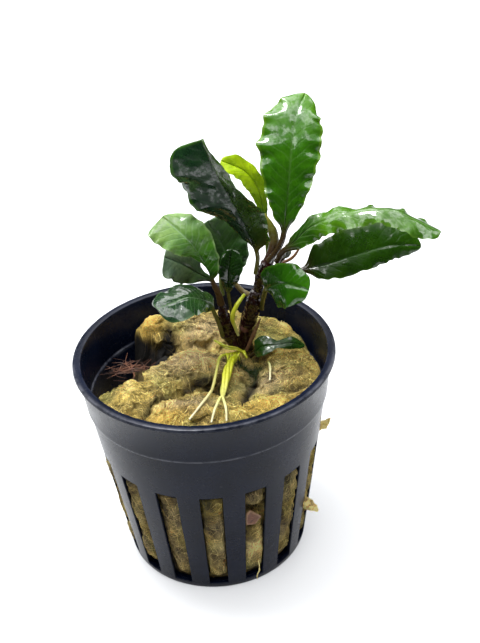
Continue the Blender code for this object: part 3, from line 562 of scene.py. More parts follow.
def wear_group():
    """Fine scratches, rubbed spots and dust on moulded plastic."""
    t, given = new_group("plastic_wear", {"Scratch Amount": 0.5, "Dust Amount": 0.3})
    lines = t.patches(0.63, 0.72, 2.2, 2, 0.5, (1, 1, 14), 0.8)
    slanted = t.patches(0.66, 0.74, 1.6, 2, 0.5, (9, 2, 1), 0.5)
    scratches = t.maths("MAXIMUM", lines, slanted) * t.patches(0.45, 0.62, 14) * given["Scratch Amount"]
    dust = t.patches(0.7, 0.8, 0.45, 1) * given["Dust Amount"] * t.patches(0.4, 0.6, 9)
    rough = t.grain(6, 3, 0.6) * 0.18 + 0.18 + scratches * 0.2
    height = t.grain(0.25, 1) * 0.3 - scratches * 0.8
    return close_group(t, Scratches=scratches, Dust=dust, Roughness=rough, Height=height)


def felt_group():
    """Ochre mineral wool: yellow clumps, straw-coloured strands, orange spots, and painted shade of dark
    olive-brown where it is marked as shaded.
    """
    t, given = new_group("wool_felt", {"Lightness": 1.0})
    tone, deep = t.reading("tone"), t.reading("deep")
    colour = t.blend(t.patches(0.32, 0.68, 4.5, 4, 0.6, None, 0.5), (0.31, 0.22, 0.06), (0.60, 0.45, 0.11))
    # The last of these blends is painted shade: olive-brown where the wool is marked as shaded.
    for share, second in (
            (t.patches(0.48, 0.66, 7, 3) * 0.6, (0.33, 0.33, 0.09)),
            (t.reading("warm") * 0.7, (0.66, 0.42, 0.07)),
            (t.reading("grey") * 0.75, (0.56, 0.43, 0.24)),
            (t.step(tone, 0.62, 0.95) * 0.5, (0.68, 0.58, 0.22)),
            (t.patches(0.66, 0.76, 1.8) * 0.6, (0.62, 0.26, 0.04)),
            (deep, (0.035, 0.022, 0.008))):
        colour = t.blend(share, colour, second)
    tangle = t.patches(0.36, 0.64, 0.32, 2, 0.6, None, 2.5)
    strands = t.grain(0.8, 3, 0.65, (1, 2.6, 1.6), 1.6) * 0.7 + tangle * 0.6
    # Painted light and shade: the level rises with the tone mark, which on the top is lighter on raised
    # clumps, and falls where the wool is marked as shaded.
    level = strands * (tone * 3.0 + 0.55) * (1.0 - deep * 0.93) * given["Lightness"]
    shade = t.add("CombineColor", {0: level, 1: level, 2: level})
    return close_group(t, Color=t.tint(colour, shade), Height=strands)


def new_material(name):
    """Material with an empty Principled BSDF, and its nodes."""
    material = bpy.data.materials.new(name)
    material.use_nodes = True
    return material, Nodes(material.node_tree)


def wet_skin(t, groups, colour, size, share, wet, dry):
    """Colour under a film of water; returns the film."""
    film = t.use(groups.wet, {
        "Patch Size": size, "Wet Share": share, "Wet Roughness": wet, "Dry Roughness": dry})
    t.fill(t.shader, {"Base Color": colour, "Roughness": film["Roughness"]})
    return film


def leaf_material(name, groups, tones, midrib, rim, stalk, wet, right=(1, 1, 1)):
    """Living leaf: toned blade with veins, patches of water, and some light passing through."""
    material, t = new_material(name)
    ground = t.ramp(t.reading("along") + t.grain(5) * 0.12 - 0.06, tones)
    ground = t.tint(ground, right, t.step(t.reading("across"), -0.04, 0.04))
    colour = t.use(groups.leaf_colour, {
        "Ground": ground, "Midrib Tone": midrib, "Rim Tone": rim, "Stalk Tone": stalk})["Color"]
    film = wet_skin(t, groups, colour, 3.6, wet, 0.12, 0.28)
    t.fill(t.shader, {"Specular IOR Level": 0.2, "Coat Weight": film["Wet"], "Coat Roughness": 0.07,
                      "Coat IOR": 1.75})
    t.bump(t.use(groups.veins)["Height"] + film["Height"] * 0.8, 0.06)
    t.let_through(t.tint(colour, (1.8, 1.8, 0.5)), 0.2)
    return material


def bark_material(groups):
    """Wet dark stem with paler rings and scars."""
    material, t = new_material("stem_maroon")
    colour = t.blend(t.patches(0.35, 0.75, 1.6, 4, 0.65), (0.008, 0.0016, 0.0012), (0.019, 0.0048, 0.0032))
    scars = t.patches(0.62, 0.74, 1.1, 2, 0.5, None, 1)
    colour = t.blend(scars * 0.25, colour, (0.085, 0.03, 0.02))
    colour = t.blend(t.reading("spot"), colour, (0.17, 0.075, 0.06))
    film = wet_skin(t, groups, colour, 1.6, 0.95, 0.07, 0.3)
    t.fill(t.shader, {"Specular IOR Level": 0.1, "Coat Weight": film["Wet"], "Coat Roughness": 0.06,
                      "Coat IOR": 1.58})
    t.bump(film["Height"] + scars * 0.25, 0.4)
    return material


def root_material(name, groups, tones):
    """Fleshy root: tones from its start to its tip, faint rings, moist skin."""
    material, t = new_material(name)
    colour = t.ramp(t.reading("along") + t.grain(3) * 0.2 - 0.1, tones)
    colour = t.tint(colour, (0.6, 0.55, 0.4), t.patches(0.5, 0.75, 0.6, 3) * 0.35)
    film = wet_skin(t, groups, colour, 2, 0.6, 0.18, 0.45)
    t.bump(film["Height"], 0.1)
    t.let_through(colour, 0.3)
    return material


def wool_material(name, groups, lightness):
    """Matte felted mineral wool."""
    material, t = new_material(name)
    felt = t.use(groups.felt, {"Lightness": lightness})
    t.fill(t.shader, {"Base Color": felt["Color"], "Roughness": 0.95, "Specular IOR Level": 0.15,
                      "Sheen Weight": 0.03, "Sheen Roughness": 0.5})
    t.bump(felt["Height"], 0.8)
    return material


def dead_fibre_material(groups):
    """Dry red-brown roots."""
    material, t = new_material("dead_root_brown")
    colour = t.blend(t.patches(0.3, 0.7, 1.5, 3, 0.6), (0.015, 0.0054, 0.0027), (0.14, 0.048, 0.019))
    film = wet_skin(t, groups, colour, 1.5, 0.3, 0.3, 0.75)
    t.bump(film["Height"], 0.15)
    return material


def chip_material(groups):
    """Pink-brown flake of bark with layered grain and paler torn edges."""
    material, t = new_material("chip_bark")
    layers = t.grain(0.8, 4, 0.6, (1, 1, 4), 0.8)
    colour = t.blend(t.step(layers, 0.3, 0.7), (0.032, 0.012, 0.008), (0.19, 0.078, 0.042))
    colour = t.blend(t.reading("torn") * 0.7, colour, (0.34, 0.21, 0.11))
    wet_skin(t, groups, colour, 1.5, 0.3, 0.35, 0.8)
    t.bump(layers, 0.3)
    return material


def plastic_material(groups):
    """Black injection-moulded plastic with a satin sheen, light wear and painted highlights along its edges.
    """
    material, t = new_material("black_plastic")
    wear = t.use(groups.wear, {"Scratch Amount": 0.5, "Dust Amount": 0.25})
    colour = t.blend(t.patches(0.3, 0.7, 8, 3), (0.001, 0.0024, 0.008), (0.0027, 0.005, 0.0145))
    colour = t.blend(wear["Scratches"] * 0.2, colour, (0.054, 0.054, 0.068))
    colour = t.blend(wear["Dust"], colour, (0.095, 0.095, 0.10))
    # Painted highlight: patches of lighter colour along the marked edges of the rim and the step.
    colour = t.blend(t.reading("edge") * t.patches(0.3, 0.65, 2.5, 3, 0.6), colour, (0.051, 0.054, 0.068))
    t.fill(t.shader, {"Base Color": colour, "Roughness": wear["Roughness"], "IOR": 1.5,
                      "Specular IOR Level": 0.125})
    t.bump(wear["Height"], 0.02)
    return material


# Shapes

def unit(vectors):
    return vectors / np.linalg.norm(vectors, axis=-1, keepdims=True)


def xyz(x, y, z=0.0):
    """Points from their coordinates."""
    return np.stack(np.broadcast_arrays(x, y, z), axis=-1)


def circle(radius, angles, z):
    """Points round the pot's axis."""
    return xyz(radius * np.cos(angles), radius * np.sin(angles), z)


def smooth_path(points, count=400):
    """Evenly sampled smooth curve through the points."""
    p = np.asarray(points, float)
    p = np.vstack([2 * p[0] - p[1], p, 2 * p[-1] - p[-2]])
    spans = len(p) - 3
    t = np.linspace(0, spans, count)
    i = np.minimum(t.astype(int), spans - 1)
    f = (t - i)[:, None]
    a, b, c, d = p[i], p[i + 1], p[i + 2], p[i + 3]
    linear = (c - a) * f
    square = (2 * a - 5 * b + 4 * c - d) * f ** 2
    cube = (3 * b - a - 3 * c + d) * f ** 3
    return 0.5 * (2 * b + linear + square + cube)


def rooted(path, depth=0.7):
    """Path with its foot drawn back into what it grows from."""
    foot = np.array(path[0], float)
    return [tuple(foot - depth * unit(np.array(path[1], float) - foot)), *path[1:]]


def spread(rows, shares):
    """Values at each share of a list of tuples spread evenly from foot to tip."""
    rows = np.asarray(rows, float)
    x = np.linspace(0, 1, len(rows))
    return np.stack([np.interp(shares, x, column) for column in rows.T], axis=1)


def places_on(path, shares):
    """Points at shares of the path's length, and the way it runs there."""
    steps = np.linalg.norm(np.diff(path, axis=0), axis=1)
    share = np.concatenate([[0], np.cumsum(steps)]) / steps.sum()

    def at(s):
        return np.stack([np.interp(s, share, column) for column in path.T], axis=1)

    forward = unit(at(np.minimum(shares + 0.01, 1)) - at(np.maximum(shares - 0.01, 0)))
    return at(shares), forward


def lumps(points, size, seed=0.0):
    """Smooth noise between about -1 and 1 at each point, with lumps about size millimetres wide."""
    shift = Vector((seed * 7.3, seed * 3.1, seed * 5.7))
    flat = np.asarray(points, float).reshape(-1, 3) / size
    values = np.array([noise.noise(Vector(p) + shift) for p in flat.tolist()])
    return values.reshape(np.asarray(points).shape[:-1])


def drift(points, size, seed):
    """Sideways wander of the points, about 1 millimetre at most."""
    return xyz(lumps(points, size, seed), lumps(points, size, seed + 1))


def half_width(item, f):
    """Shares of the widest half blades, left and right, at share f of the blade."""
    power = math.log(0.5) / np.log(item.widest)
    tip = np.clip((f - 0.3) / 0.4, 0, 1)
    base_end, tip_end = item.blunt
    blunt = base_end * (1 - tip) + np.multiply(tip_end, tip)
    share = np.sin(math.pi * f ** power).clip(0) ** blunt
    return np.broadcast_to(share, (len(f), 2))


def wave(item, f, side):
    """Height of the wavy edge, between about -1 and 1."""
    a = FULL_TURN * item.waves * f + item.phase + 2.1 * side
    return 0.7 * np.sin(a) + 0.35 * np.sin(1.63 * a + 1.3 + side)


def scallops(item, f, sign, seed):
    """Small uneven scallops of the edge, outward and upward, between about -1 and 1."""
    length = np.linalg.norm(np.diff(np.array(item.path, float), axis=0), axis=1).sum() * (1 - item.stalk)
    places = xyz(f * length, sign * 9.0, seed * 3.7)
    return lumps(places, 1.25, 31), lumps(places, 1.1, 32)


def leaf_points(item, seed):
    """Rings of points round a leaf, what each point is (along, across, stalk, below), and the tip."""
    path = smooth_path(rooted(item.path))
    foot = item.stalk * np.linspace(0, 1, STALK_RINGS, endpoint=False)
    steps = np.linspace(0, 1, LEAF_RINGS, endpoint=False)
    s = np.concatenate([foot, item.stalk + (1 - item.stalk) * (1 - (1 - steps) ** 1.15)])
    centre, forward = places_on(path, s)
    up = spread(item.face, s)
    up = unit(up - forward * (up * forward).sum(1, keepdims=True))
    side = np.cross(forward, up)[:, None]
    up, centre = up[:, None], centre[:, None]
    f = np.clip((s - item.stalk) / (1 - item.stalk), 0, 1)[:, None]
    ease = np.clip(f / 0.14, 0, 1)
    ease = ease * ease * (3 - 2 * ease)
    radius = np.interp(s, [0, item.stalk, 1], [*item.stalk_radius, 0.12])[:, None]

    # Columns run over the upper side from left to right, and back below
    row = np.linspace(-1, 1, 2 * LEAF_CELLS + 1)
    u = np.concatenate([row, row[-2:0:-1]])
    face = np.concatenate([np.ones(len(row)), -np.ones(len(row) - 2)])
    sign = np.where(u < 0, -1, 1)
    half = (u >= 0).astype(int)
    x = np.abs(u)
    start = np.radians(spread(item.fold, f[:, 0]))[:, half]
    bend = np.radians(spread(item.curl, f[:, 0]))[:, half]
    bend = np.where(np.abs(bend) < 0.001, 0.001, bend)
    end = start + bend * x
    taper = half_width(item, f)[:, half]
    full = np.minimum(1, taper * 1.4)
    outward, upward = scallops(item, f, sign, seed)
    reach = spread(item.width, f[:, 0])[:, half] * taper * (1 + 0.035 * wave(item, f + 0.04, -sign) * x)
    reach = reach + item.crimp * outward * x ** 3 * full
    across = reach * (np.sin(end) - np.sin(start)) / bend
    rise = reach * (np.cos(start) - np.cos(end)) / bend
    ruffle = np.broadcast_to(item.ruffle, 2)[half] * wave(item, f, sign) * x ** 2.5
    ruffle = (ruffle + 1.2 * item.crimp * upward * x ** 4) * full
    rib = np.where(face < 0, radius * 0.9 * np.maximum(0, 1 - x * 2.5), 0)
    thick = LEAF_THICKNESS / 2 * (1 - x ** 3) + rib

    normal = side * (-np.sin(end) * sign)[..., None] + up * np.cos(end)[..., None]
    blade = side * (across * sign)[..., None] + up * rise[..., None] + normal * ruffle[..., None]
    angle = math.pi / 2 * (1 - u)
    stalk = side * np.cos(angle)[:, None] + up * (np.sin(angle) * face)[:, None]
    eased = ease[..., None]
    solid = blade + normal * (thick * face)[..., None]
    points = centre + stalk * radius[..., None] * (1 - eased) + solid * eased

    # Puckers between the side veins, a groove along the midrib, and fine unevenness
    middle = centre + blade * eased
    row_of = np.abs((VEIN_COUNT * f - VEIN_SLANT * x + 0.35 * lumps(middle, 2.5, seed)) % 1 - 0.5) * 2
    veins = (0.5 - np.clip(row_of / 0.5, 0, 1)) * np.clip(3 * x, 0, 1) * (1 - x ** 4)
    pucker = PUCKER * (2 * lumps(middle, 1.8, seed + 1) + 7 * lumps(middle, 4.5, seed + 2) - veins)
    groove = -0.16 * np.exp(-(x / 0.06) ** 2) * np.where(face > 0, 1, -0.6)
    points = points + normal * ((pucker * (1 - x ** 6) * taper.clip(0, 1) + groove) * ease)[..., None]
    marks = {"along": f, "across": u, "stalk": 1 - ease, "below": (face < 0) * 1.0}
    return points, {key: np.broadcast_to(values, taper.shape) for key, values in marks.items()}, path[-1]


def ring_faces(count, rings):
    """Quads between neighbouring rings of the same number of points."""
    i = np.arange(rings - 1)[:, None] * count
    k = np.arange(count)[None, :]
    n = (k + 1) % count
    return np.stack([i + k, i + n, i + count + n, i + count + k], axis=2).reshape(-1, 4).tolist()


def closed(rows):
    """Points and faces of a stack of rings with flat ends."""
    rings, count = rows.shape[:2]
    ends = [list(range(count)), list(range((rings - 1) * count, rings * count))]
    return rows.reshape(-1, 3), ring_faces(count, rings) + ends


def add_piece(name, points, faces, material, node=None, marks=None, sharp=60):
    """Smooth mesh piece from points in millimetres; marks are numbers kept on its points."""
    mesh = bpy.data.meshes.new(name)
    mesh.from_pydata((np.asarray(points, float) * MM).tolist(), [], faces)
    for key, values in (marks or {}).items():
        kept = mesh.attributes.new(key, "FLOAT", "POINT")
        kept.data.foreach_set("value", np.asarray(values, np.float32).ravel())
    built = bmesh.new()
    built.from_mesh(mesh)
    bmesh.ops.recalc_face_normals(built, faces=built.faces)
    built.to_mesh(mesh)
    built.free()
    mesh.shade_smooth()
    mesh.set_sharp_from_angle(angle=math.radians(sharp))
    mesh.materials.append(material)
    piece = bpy.data.objects.new(name, mesh)
    bpy.context.collection.objects.link(piece)
    if node:
        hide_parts(node)
    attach(piece, "root")
    return piece


def build_leaf(name, item, material, seed):
    points, marks, tip = leaf_points(item, seed)
    rings, count = points.shape[:2]
    last = (rings - 1) * count
    total = rings * count
    faces = ring_faces(count, rings) + [list(range(count))]
    faces += [[last + k, last + (k + 1) % count, total] for k in range(count)]
    at_tip = {"along": 1, "across": 0, "stalk": 0, "below": 0}
    marks = {key: np.append(values, at_tip[key]) for key, values in marks.items()}
    add_piece("grown_" + name, np.vstack([points.reshape(-1, 3), tip]), faces, material, name, marks)


def tube_rings(points, radii, sides, rings, rough, grain_size, seed, scars=()):
    """Rings of points round a smooth path; rough is the share of the radius that the skin wanders."""
    s = np.linspace(0, 1, rings)
    centre, forward = places_on(smooth_path(points), s)
    radius = np.interp(s, np.linspace(0, 1, len(radii)), radii)
    for place, depth in scars:
        radius = radius * (1 + depth * np.exp(-((s - place) / 0.045) ** 2))
    a = (FULL_TURN * np.arange(sides) / sides)[:, None]
    up = np.array([0.3, -0.9, 0.2])
    skin = []
    for i in range(rings):
        up = unit(up - forward[i] * (up @ forward[i]))
        skin.append((np.cos(a) * np.cross(forward[i], up) + np.sin(a) * up) * radius[i])
    skin = np.array(skin)
    around = centre[:, None] + skin
    skin = skin * (1 + rough * lumps(around, grain_size, seed))[..., None]
    skin = skin * (1 + rough * 0.5 * lumps(around, grain_size * 0.4, seed + 3))[..., None]
    return centre[:, None] + skin, s


def build_tube(name, rings, s, material, spot=None):
    """Closed tube from its rings, with domed ends; a spot is the place and radius of a round scar."""
    count = rings.shape[1]
    faces = ring_faces(count, len(rings))
    ends = []
    for i, j in ((0, 1), (-1, -2)):
        middle = rings[i].mean(axis=0)
        dome = np.linalg.norm(rings[i][0] - middle) * 0.25
        ends.append(middle + unit(middle - rings[j].mean(axis=0)) * dome)
    base = rings.size // 3
    last = base - count
    for k in range(count):
        faces.append([k, (k + 1) % count, base])
        faces.append([last + k, last + (k + 1) % count, base + 1])
    flat = np.vstack([rings.reshape(-1, 3), ends])
    marks = {"along": np.append(np.repeat(s, count), [0, 1])}
    if spot:
        place, radius = spot
        marks["spot"] = np.clip((radius - np.linalg.norm(flat - place, axis=1)) / 0.25, 0, 1)
    add_piece("grown_" + name, flat, faces, material, name, marks)


def joined(parts):
    """One mesh from several, each its points, faces and places along it."""
    faces = []
    total = 0
    for points, part_faces, _ in parts:
        faces += [[total + k for k in face] for face in part_faces]
        total += len(points)
    return np.vstack([part[0] for part in parts]), faces, np.concatenate([part[2] for part in parts])


def strand(points, radii, sides, rings, rough, seed=0, grain_size=0.9):
    """Points, faces and places along one thin closed root."""
    rows, s = tube_rings(points, radii, sides, rings, rough, grain_size, seed)
    return *closed(rows), np.repeat(s, sides)


# Pot

def pot_outline():
    """Section of the pot from the middle of the base, up the outside, over the rim and down the inside.

    Each row is a radius, a height and how strongly a painted highlight lightens its edge.
    """
    body_top = BAND_FOOT_RADIUS - STEP_WIDTH
    lip = POT_HEIGHT - LIP_THICKNESS
    return [
        (BASE_RADIUS - 0.9, 0, 0), (BASE_RADIUS - 0.5, 0, 0), (BASE_RADIUS - 0.15, 0.15, 0.2),
        (BASE_RADIUS, 0.5, 0), (body_top - 0.02, STEP_HEIGHT - 0.4, 0),
        (BAND_FOOT_RADIUS - 0.1, STEP_HEIGHT - 0.15, 0.8), (BAND_FOOT_RADIUS, STEP_HEIGHT + 0.15, 1),
        (BAND_FOOT_RADIUS + 0.02, STEP_HEIGHT + 0.45, 0), (BAND_TOP_RADIUS - 0.05, lip - 0.25, 0),
        (BAND_TOP_RADIUS + 0.1, lip - 0.02, 0), (RIM_RADIUS - 0.2, lip + 0.08, 0.2),
        (RIM_RADIUS, lip + 0.3, 0.5), (RIM_RADIUS, POT_HEIGHT - 0.4, 0.4),
        (RIM_RADIUS - 0.12, POT_HEIGHT - 0.12, 1), (RIM_RADIUS - 0.4, POT_HEIGHT, 0.5),
        (RIM_RADIUS - 0.7, POT_HEIGHT, 0), (RIM_INNER_RADIUS + 0.55, POT_HEIGHT, 0),
        (RIM_INNER_RADIUS + 0.15, POT_HEIGHT - 0.15, 0.3), (RIM_INNER_RADIUS, POT_HEIGHT - 0.55, 0),
        (BAND_FOOT_RADIUS - WALL + 0.02, STEP_HEIGHT + 0.35, 0), (BAND_FOOT_RADIUS - WALL, STEP_HEIGHT, 1),
        (BAND_FOOT_RADIUS - WALL - 0.3, STEP_HEIGHT - 0.1, 1), (body_top - WALL, STEP_HEIGHT - 0.9, 0),
        (BASE_RADIUS - WALL + 0.1, FLOOR + 0.5, 0), (BASE_RADIUS - WALL - 0.4, FLOOR, 0),
    ]


def radius_between(z, low, high):
    """Radius at height z on the line between two points of radius and height."""
    return low[0] + (high[0] - low[0]) * (z - low[1]) / (high[1] - low[1])


def outer_radius(z):
    return radius_between(z, (BASE_RADIUS, 0.5), (BAND_FOOT_RADIUS - STEP_WIDTH, STEP_HEIGHT - 0.4))


def inner_radius(z):
    """Radius of the pot's inner wall below the step."""
    body_top = BAND_FOOT_RADIUS - STEP_WIDTH - WALL
    return radius_between(z, (BASE_RADIUS - WALL, FLOOR), (body_top, STEP_HEIGHT - 1))


def slot_width(z):
    return SLOT_FOOT_WIDTH + (SLOT_TOP_WIDTH - SLOT_FOOT_WIDTH) * (z - SLOT_FOOT) / (SLOT_TOP - SLOT_FOOT)


def column_angles(slots, half, slot_columns, bar_columns):
    """Angles of the columns across each slot, of this half angle, and across the bar after it."""
    pitch = FULL_TURN / slots
    across = np.concatenate([
        np.linspace(-half, half, slot_columns, endpoint=False),
        np.linspace(half, pitch - half, bar_columns, endpoint=False)])
    return (math.radians(FIRST_SLOT_ANGLE) + pitch * np.arange(slots)[:, None] + across).ravel()


def slot_faces(at, outer, inner, left, right):
    """Sides and ends of a slot between rows of the outer and of the inner skin."""
    sides = [[at(outer[j], k), at(outer[j + 1], k), at(inner[j + 1], k), at(inner[j], k)]
             for j in range(len(outer) - 1) for k in (left, right)]
    ends = [[at(outer[j], k), at(outer[j], k + 1), at(inner[j], k + 1), at(inner[j], k)]
            for k in range(left, right) for j in (0, -1)]
    return sides + ends


def build_pot(material):
    """Pot with straight-edged slots: its skins are joined over the rim, round the base and in each slot."""
    slot_columns, bar_columns, floor_slot_columns = 8, 8, 6
    period = slot_columns + bar_columns
    count = SLOT_COUNT * period
    floor_period = count // FLOOR_SLOT_COUNT
    outline = pot_outline()
    cuts = np.linspace(SLOT_FOOT, SLOT_TOP, 15)
    outer = [(radius_between(z, outline[3], outline[4]), z, 0) for z in cuts]
    inner = [(radius_between(z, outline[-2], outline[-3]), z, 0) for z in reversed(cuts)]
    section = outline[:4] + outer + outline[4:-2] + inner + outline[-2:]
    rows = []
    for radius, z, _ in section:
        half = math.asin(slot_width(min(max(z, SLOT_FOOT), SLOT_TOP)) / 2 / radius)
        rows.append(circle(radius, column_angles(SLOT_COUNT, half, slot_columns, bar_columns), z))
    outer_rows = [4 + j for j in range(len(cuts))]
    inner_rows = [len(rows) - 3 - j for j in range(len(cuts))]
    wall_rows = len(rows)
    floor_radii = [*np.linspace(FLOOR_SLOT_OUTER, FLOOR_SLOT_INNER, 5), 4.0]
    for z in (0, FLOOR):
        for radius in floor_radii:
            half = math.asin(FLOOR_SLOT_WIDTH / 2 / max(radius, FLOOR_SLOT_INNER))
            a = column_angles(FLOOR_SLOT_COUNT, half, floor_slot_columns, floor_period - floor_slot_columns)
            rows.append(circle(radius, a, z))

    def at(row, k):
        return row * count + k % count

    def between(row, other, k, shift=0):
        return [at(row, k + shift), at(row, k + shift + 1), at(other, k + 1), at(other, k)]

    opened = {*outer_rows[:-1], *inner_rows[1:]}
    faces = [between(i, i + 1, k) for i in range(wall_rows - 1) for k in range(count)
             if i not in opened or k % period >= slot_columns]
    for m in range(SLOT_COUNT):
        faces += slot_faces(at, outer_rows, inner_rows, m * period, m * period + slot_columns)

    # The floor's columns are joined to the nearest ones of the wall
    wall_half = math.asin(SLOT_FOOT_WIDTH / 2 / section[0][0])
    floor_half = math.asin(FLOOR_SLOT_WIDTH / 2 / FLOOR_SLOT_OUTER)
    shift = round((wall_half - floor_half) / (FULL_TURN / count))
    below = [wall_rows + j for j in range(len(floor_radii))]
    above = [row + len(floor_radii) for row in below]
    for wall_row, floor_rows in ((0, below), (wall_rows - 1, above)):
        faces += [between(wall_row, floor_rows[0], k, shift) for k in range(count)]
        faces += [between(row, row + 1, k) for row in floor_rows[:-1] for k in range(count)
                  if row == floor_rows[-2] or k % floor_period >= floor_slot_columns]
        faces.append([at(floor_rows[-1], k) for k in range(count)])
    for m in range(FLOOR_SLOT_COUNT):
        left = m * floor_period
        faces += slot_faces(at, below[:-1], above[:-1], left, left + floor_slot_columns)
    # Painted highlight along the rim and step edges, carried in the edge mark.
    edges = [row[2] for row in section] + [0] * (2 * len(floor_radii))
    pot = add_piece("moulded_pot", np.vstack(rows), faces, material, "net_pot",
                    {"edge": np.repeat(edges, count)}, sharp=32)
    rounding = pot.modifiers.new("rounded_edges", "BEVEL")
    rounding.width = 0.14 * MM
    rounding.segments = 2
    rounding.limit_method = "ANGLE"
    rounding.angle_limit = math.radians(50)


# Wool

def within(x, y, cx, cy, half_length, half_width, turn):
    """1 in the middle of a turned oval, falling to 0 at its edge and outside."""
    c, s = math.cos(math.radians(turn)), math.sin(math.radians(turn))
    dx = ((x - cx) * c + (y - cy) * s) / half_length
    dy = ((y - cy) * c - (x - cx) * s) / half_width
    return np.clip(1 - dx * dx - dy * dy, 0, None)


def near_spot(x, y, cx, cy, rx, ry):
    """1 in the middle of a spot, falling to 0 outside it."""
    return np.exp(-((x - cx) / rx) ** 2 - ((y - cy) / ry) ** 2)


def wool_height(x, y):
    """Height of the wool's lumpy top."""
    total = np.zeros_like(x)
    for *oval, top in WOOL_LOBES:
        total += ((top - WOOL_LEVEL) * np.sqrt(within(x, y, *oval))) ** 5
    height = WOOL_LEVEL + total ** 0.2
    height = height - HOLLOW_DEPTH * np.minimum(1, within(x, y, *HOLLOW) * 2.2) ** 0.8
    cx, cy, reach = SEAT
    near = np.clip(1.6 - np.hypot(x - cx, y - cy) / reach, 0, 1)
    return height * (1 - near) + np.minimum(height, SEAT_HEIGHT) * near


def crease_depth(x, y):
    """How far the wool's creases and pits lie below its lobes."""
    depth = np.zeros_like(x)
    for line, half, deepest in WOOL_CREASES:
        nearest = np.full_like(x, 1e6)
        for (x0, y0), (x1, y1) in zip(line, line[1:]):
            dx, dy = x1 - x0, y1 - y0
            share = np.clip(((x - x0) * dx + (y - y0) * dy) / (dx * dx + dy * dy), 0, 1)
            nearest = np.minimum(nearest, np.hypot(x - x0 - share * dx, y - y0 - share * dy))
        depth = np.maximum(depth, deepest * np.exp(-(nearest / half) ** 2))
    for *spot, deepest in WOOL_PITS:
        depth = np.maximum(depth, deepest * near_spot(x, y, *spot))
    return depth


def wool_relief(x, y):
    """Clumps and swirled strands standing out of the wool's lobes, in millimetres."""
    places = xyz(x, y)
    swirl = places + 2.2 * drift(places, 3.5, 11)
    roll = 0.6 * (0.5 - 2.2 * np.abs(lumps(swirl, 2.0, 2)))
    knot = 0.28 * (0.5 - 2.2 * np.abs(lumps(swirl, 0.8, 3)))
    return 0.8 * lumps(places, 3.4, 1) + roll + knot


def wool_surface(x, y):
    """Points of the wool's top, shifted sideways by its clumps, so that steep slopes aren't smooth."""
    rough = 0.9 * wool_relief(x, y) - crease_depth(x, y)
    points = xyz(x, y, np.minimum(wool_height(x, y) + rough, WOOL_PEAK))
    inner = np.clip((22.5 - np.hypot(x, y)) / 2, 0, 1)[..., None]
    return points + inner * (1.3 * drift(points, 2.2, 21) + 0.55 * drift(points, 0.9, 23))


def wool_marks(points):
    """Where the wool is warm and pinkish grey, where painted shade darkens it, and how light its clumps are,
    partly as painted light and shade.
    """
    x, y, z = points.T
    warm, grey = (sum(near_spot(x, y, *spot) for spot in spots) for spots in (WARM_SPOTS, GREY_SPOTS))
    # Painted shade: below SHADE_LEVEL in and beside the hollow, and in the creases and pits by their depth.
    cx, cy, half_length, half_width, turn = HOLLOW
    beside = within(x, y, cx, cy, half_length + 2.5, half_width + 2.5, turn) > 0
    deep = np.clip((SHADE_LEVEL - z) / 2.2, 0, 1) * beside + 0.55 * crease_depth(x, y)
    places = xyz(x, y, z * 0.7)
    side_tone = 0.46 + 0.9 * lumps(places, 3.4, 5) + 0.6 * lumps(places, 1.1, 6)
    chip, bulge = (np.exp(-(((points - place) * (1, 1, squash)) ** 2).sum(axis=1) / 9)
                   for place, squash in (PAINTED_SHADOW_BESIDE_CHIP, YELLOW_BULGE))
    # On the sides, painted shade darkens the wool in the slots, more as a painted shadow beside the chip and
    # less on the yellow bulge.
    on_side = {
        "warm": 0.2 + lumps(places, 4.0, 13),
        "grey": 0.5 + lumps(places, 5.0, 14),
        "deep": 0.3 + 0.9 * chip - 0.4 * bulge,
        "tone": side_tone + 0.6 * bulge,
    }
    # On the top the tone follows the clumps' relief: painted light on raised clumps and painted shade between
    # them.
    on_top = {"warm": warm, "grey": grey, "deep": deep, "tone": 0.47 + 0.6 * wool_relief(x, y)}
    return {key: np.where(z < SIDE_LEVEL, on_side[key], on_top[key]).clip(0, 1) for key in on_side}


def wool_side(angle, z):
    """Radius of the wool beside the wall: it swells into the slots and stays back at their feet."""
    pitch = math.radians(SLOT_PITCH)
    offset = (angle - math.radians(FIRST_SLOT_ANGLE) + pitch / 2) % pitch - pitch / 2
    across = offset * inner_radius(z) / (slot_width(z) / 2)
    window = np.clip(1 - across ** 2, 0, 1) ** 0.35
    foot = np.clip((z - 1.8) / 3.5, 0, 1) * np.clip((SLOT_TOP + 0.5 - z) / 1.5, 0, 1)
    places = circle(20, angle, z * 0.7)
    rough = 0.6 * lumps(places, 2.6, 5) + 0.4 * lumps(places, 0.9, 6)
    swell = window * foot * (1.7 + 0.6 * lumps(places, 6.0, 7)) - 0.75
    beside_chip = ((angle - math.radians(CHIP_ANGLE) + math.pi) % FULL_TURN - math.pi) * 22
    swell = swell - 3.2 * near_spot(beside_chip, z, *DENT_BEHIND_CHIP)
    swell = swell + near_spot(beside_chip, z, *SWELL_BELOW_CHIP)
    radius = inner_radius(z) - 0.3 + np.minimum(swell + rough * foot, 1.15)
    return np.minimum(radius, outer_radius(z) + 0.35 * window)


def build_wool(material):
    """Wool plug: lumpy top and sides that swell into the slots."""
    spokes, top_rings, side_rings = 336, 128, 84
    a = FULL_TURN * np.arange(spokes) / spokes
    widest = inner_radius(38) - 0.1
    rings = []
    for share in np.linspace(0.01, 0.985, top_rings):
        rings.append(wool_surface(share * widest * np.cos(a), share * widest * np.sin(a)))
    edge = rings[-1][:, 2] - 0.3
    for share in np.linspace(0.985, 0.0, side_rings):
        z = WOOL_FOOT + (edge - WOOL_FOOT) * share
        radius = np.where(z > SLOT_TOP, np.minimum(inner_radius(z) - 0.3, widest), wool_side(a, z))
        rings.append(circle(radius, a, z))
    points, faces = closed(np.array(rings))
    add_piece("felted_wool", points, faces, material, "rock_wool", wool_marks(points), sharp=180)


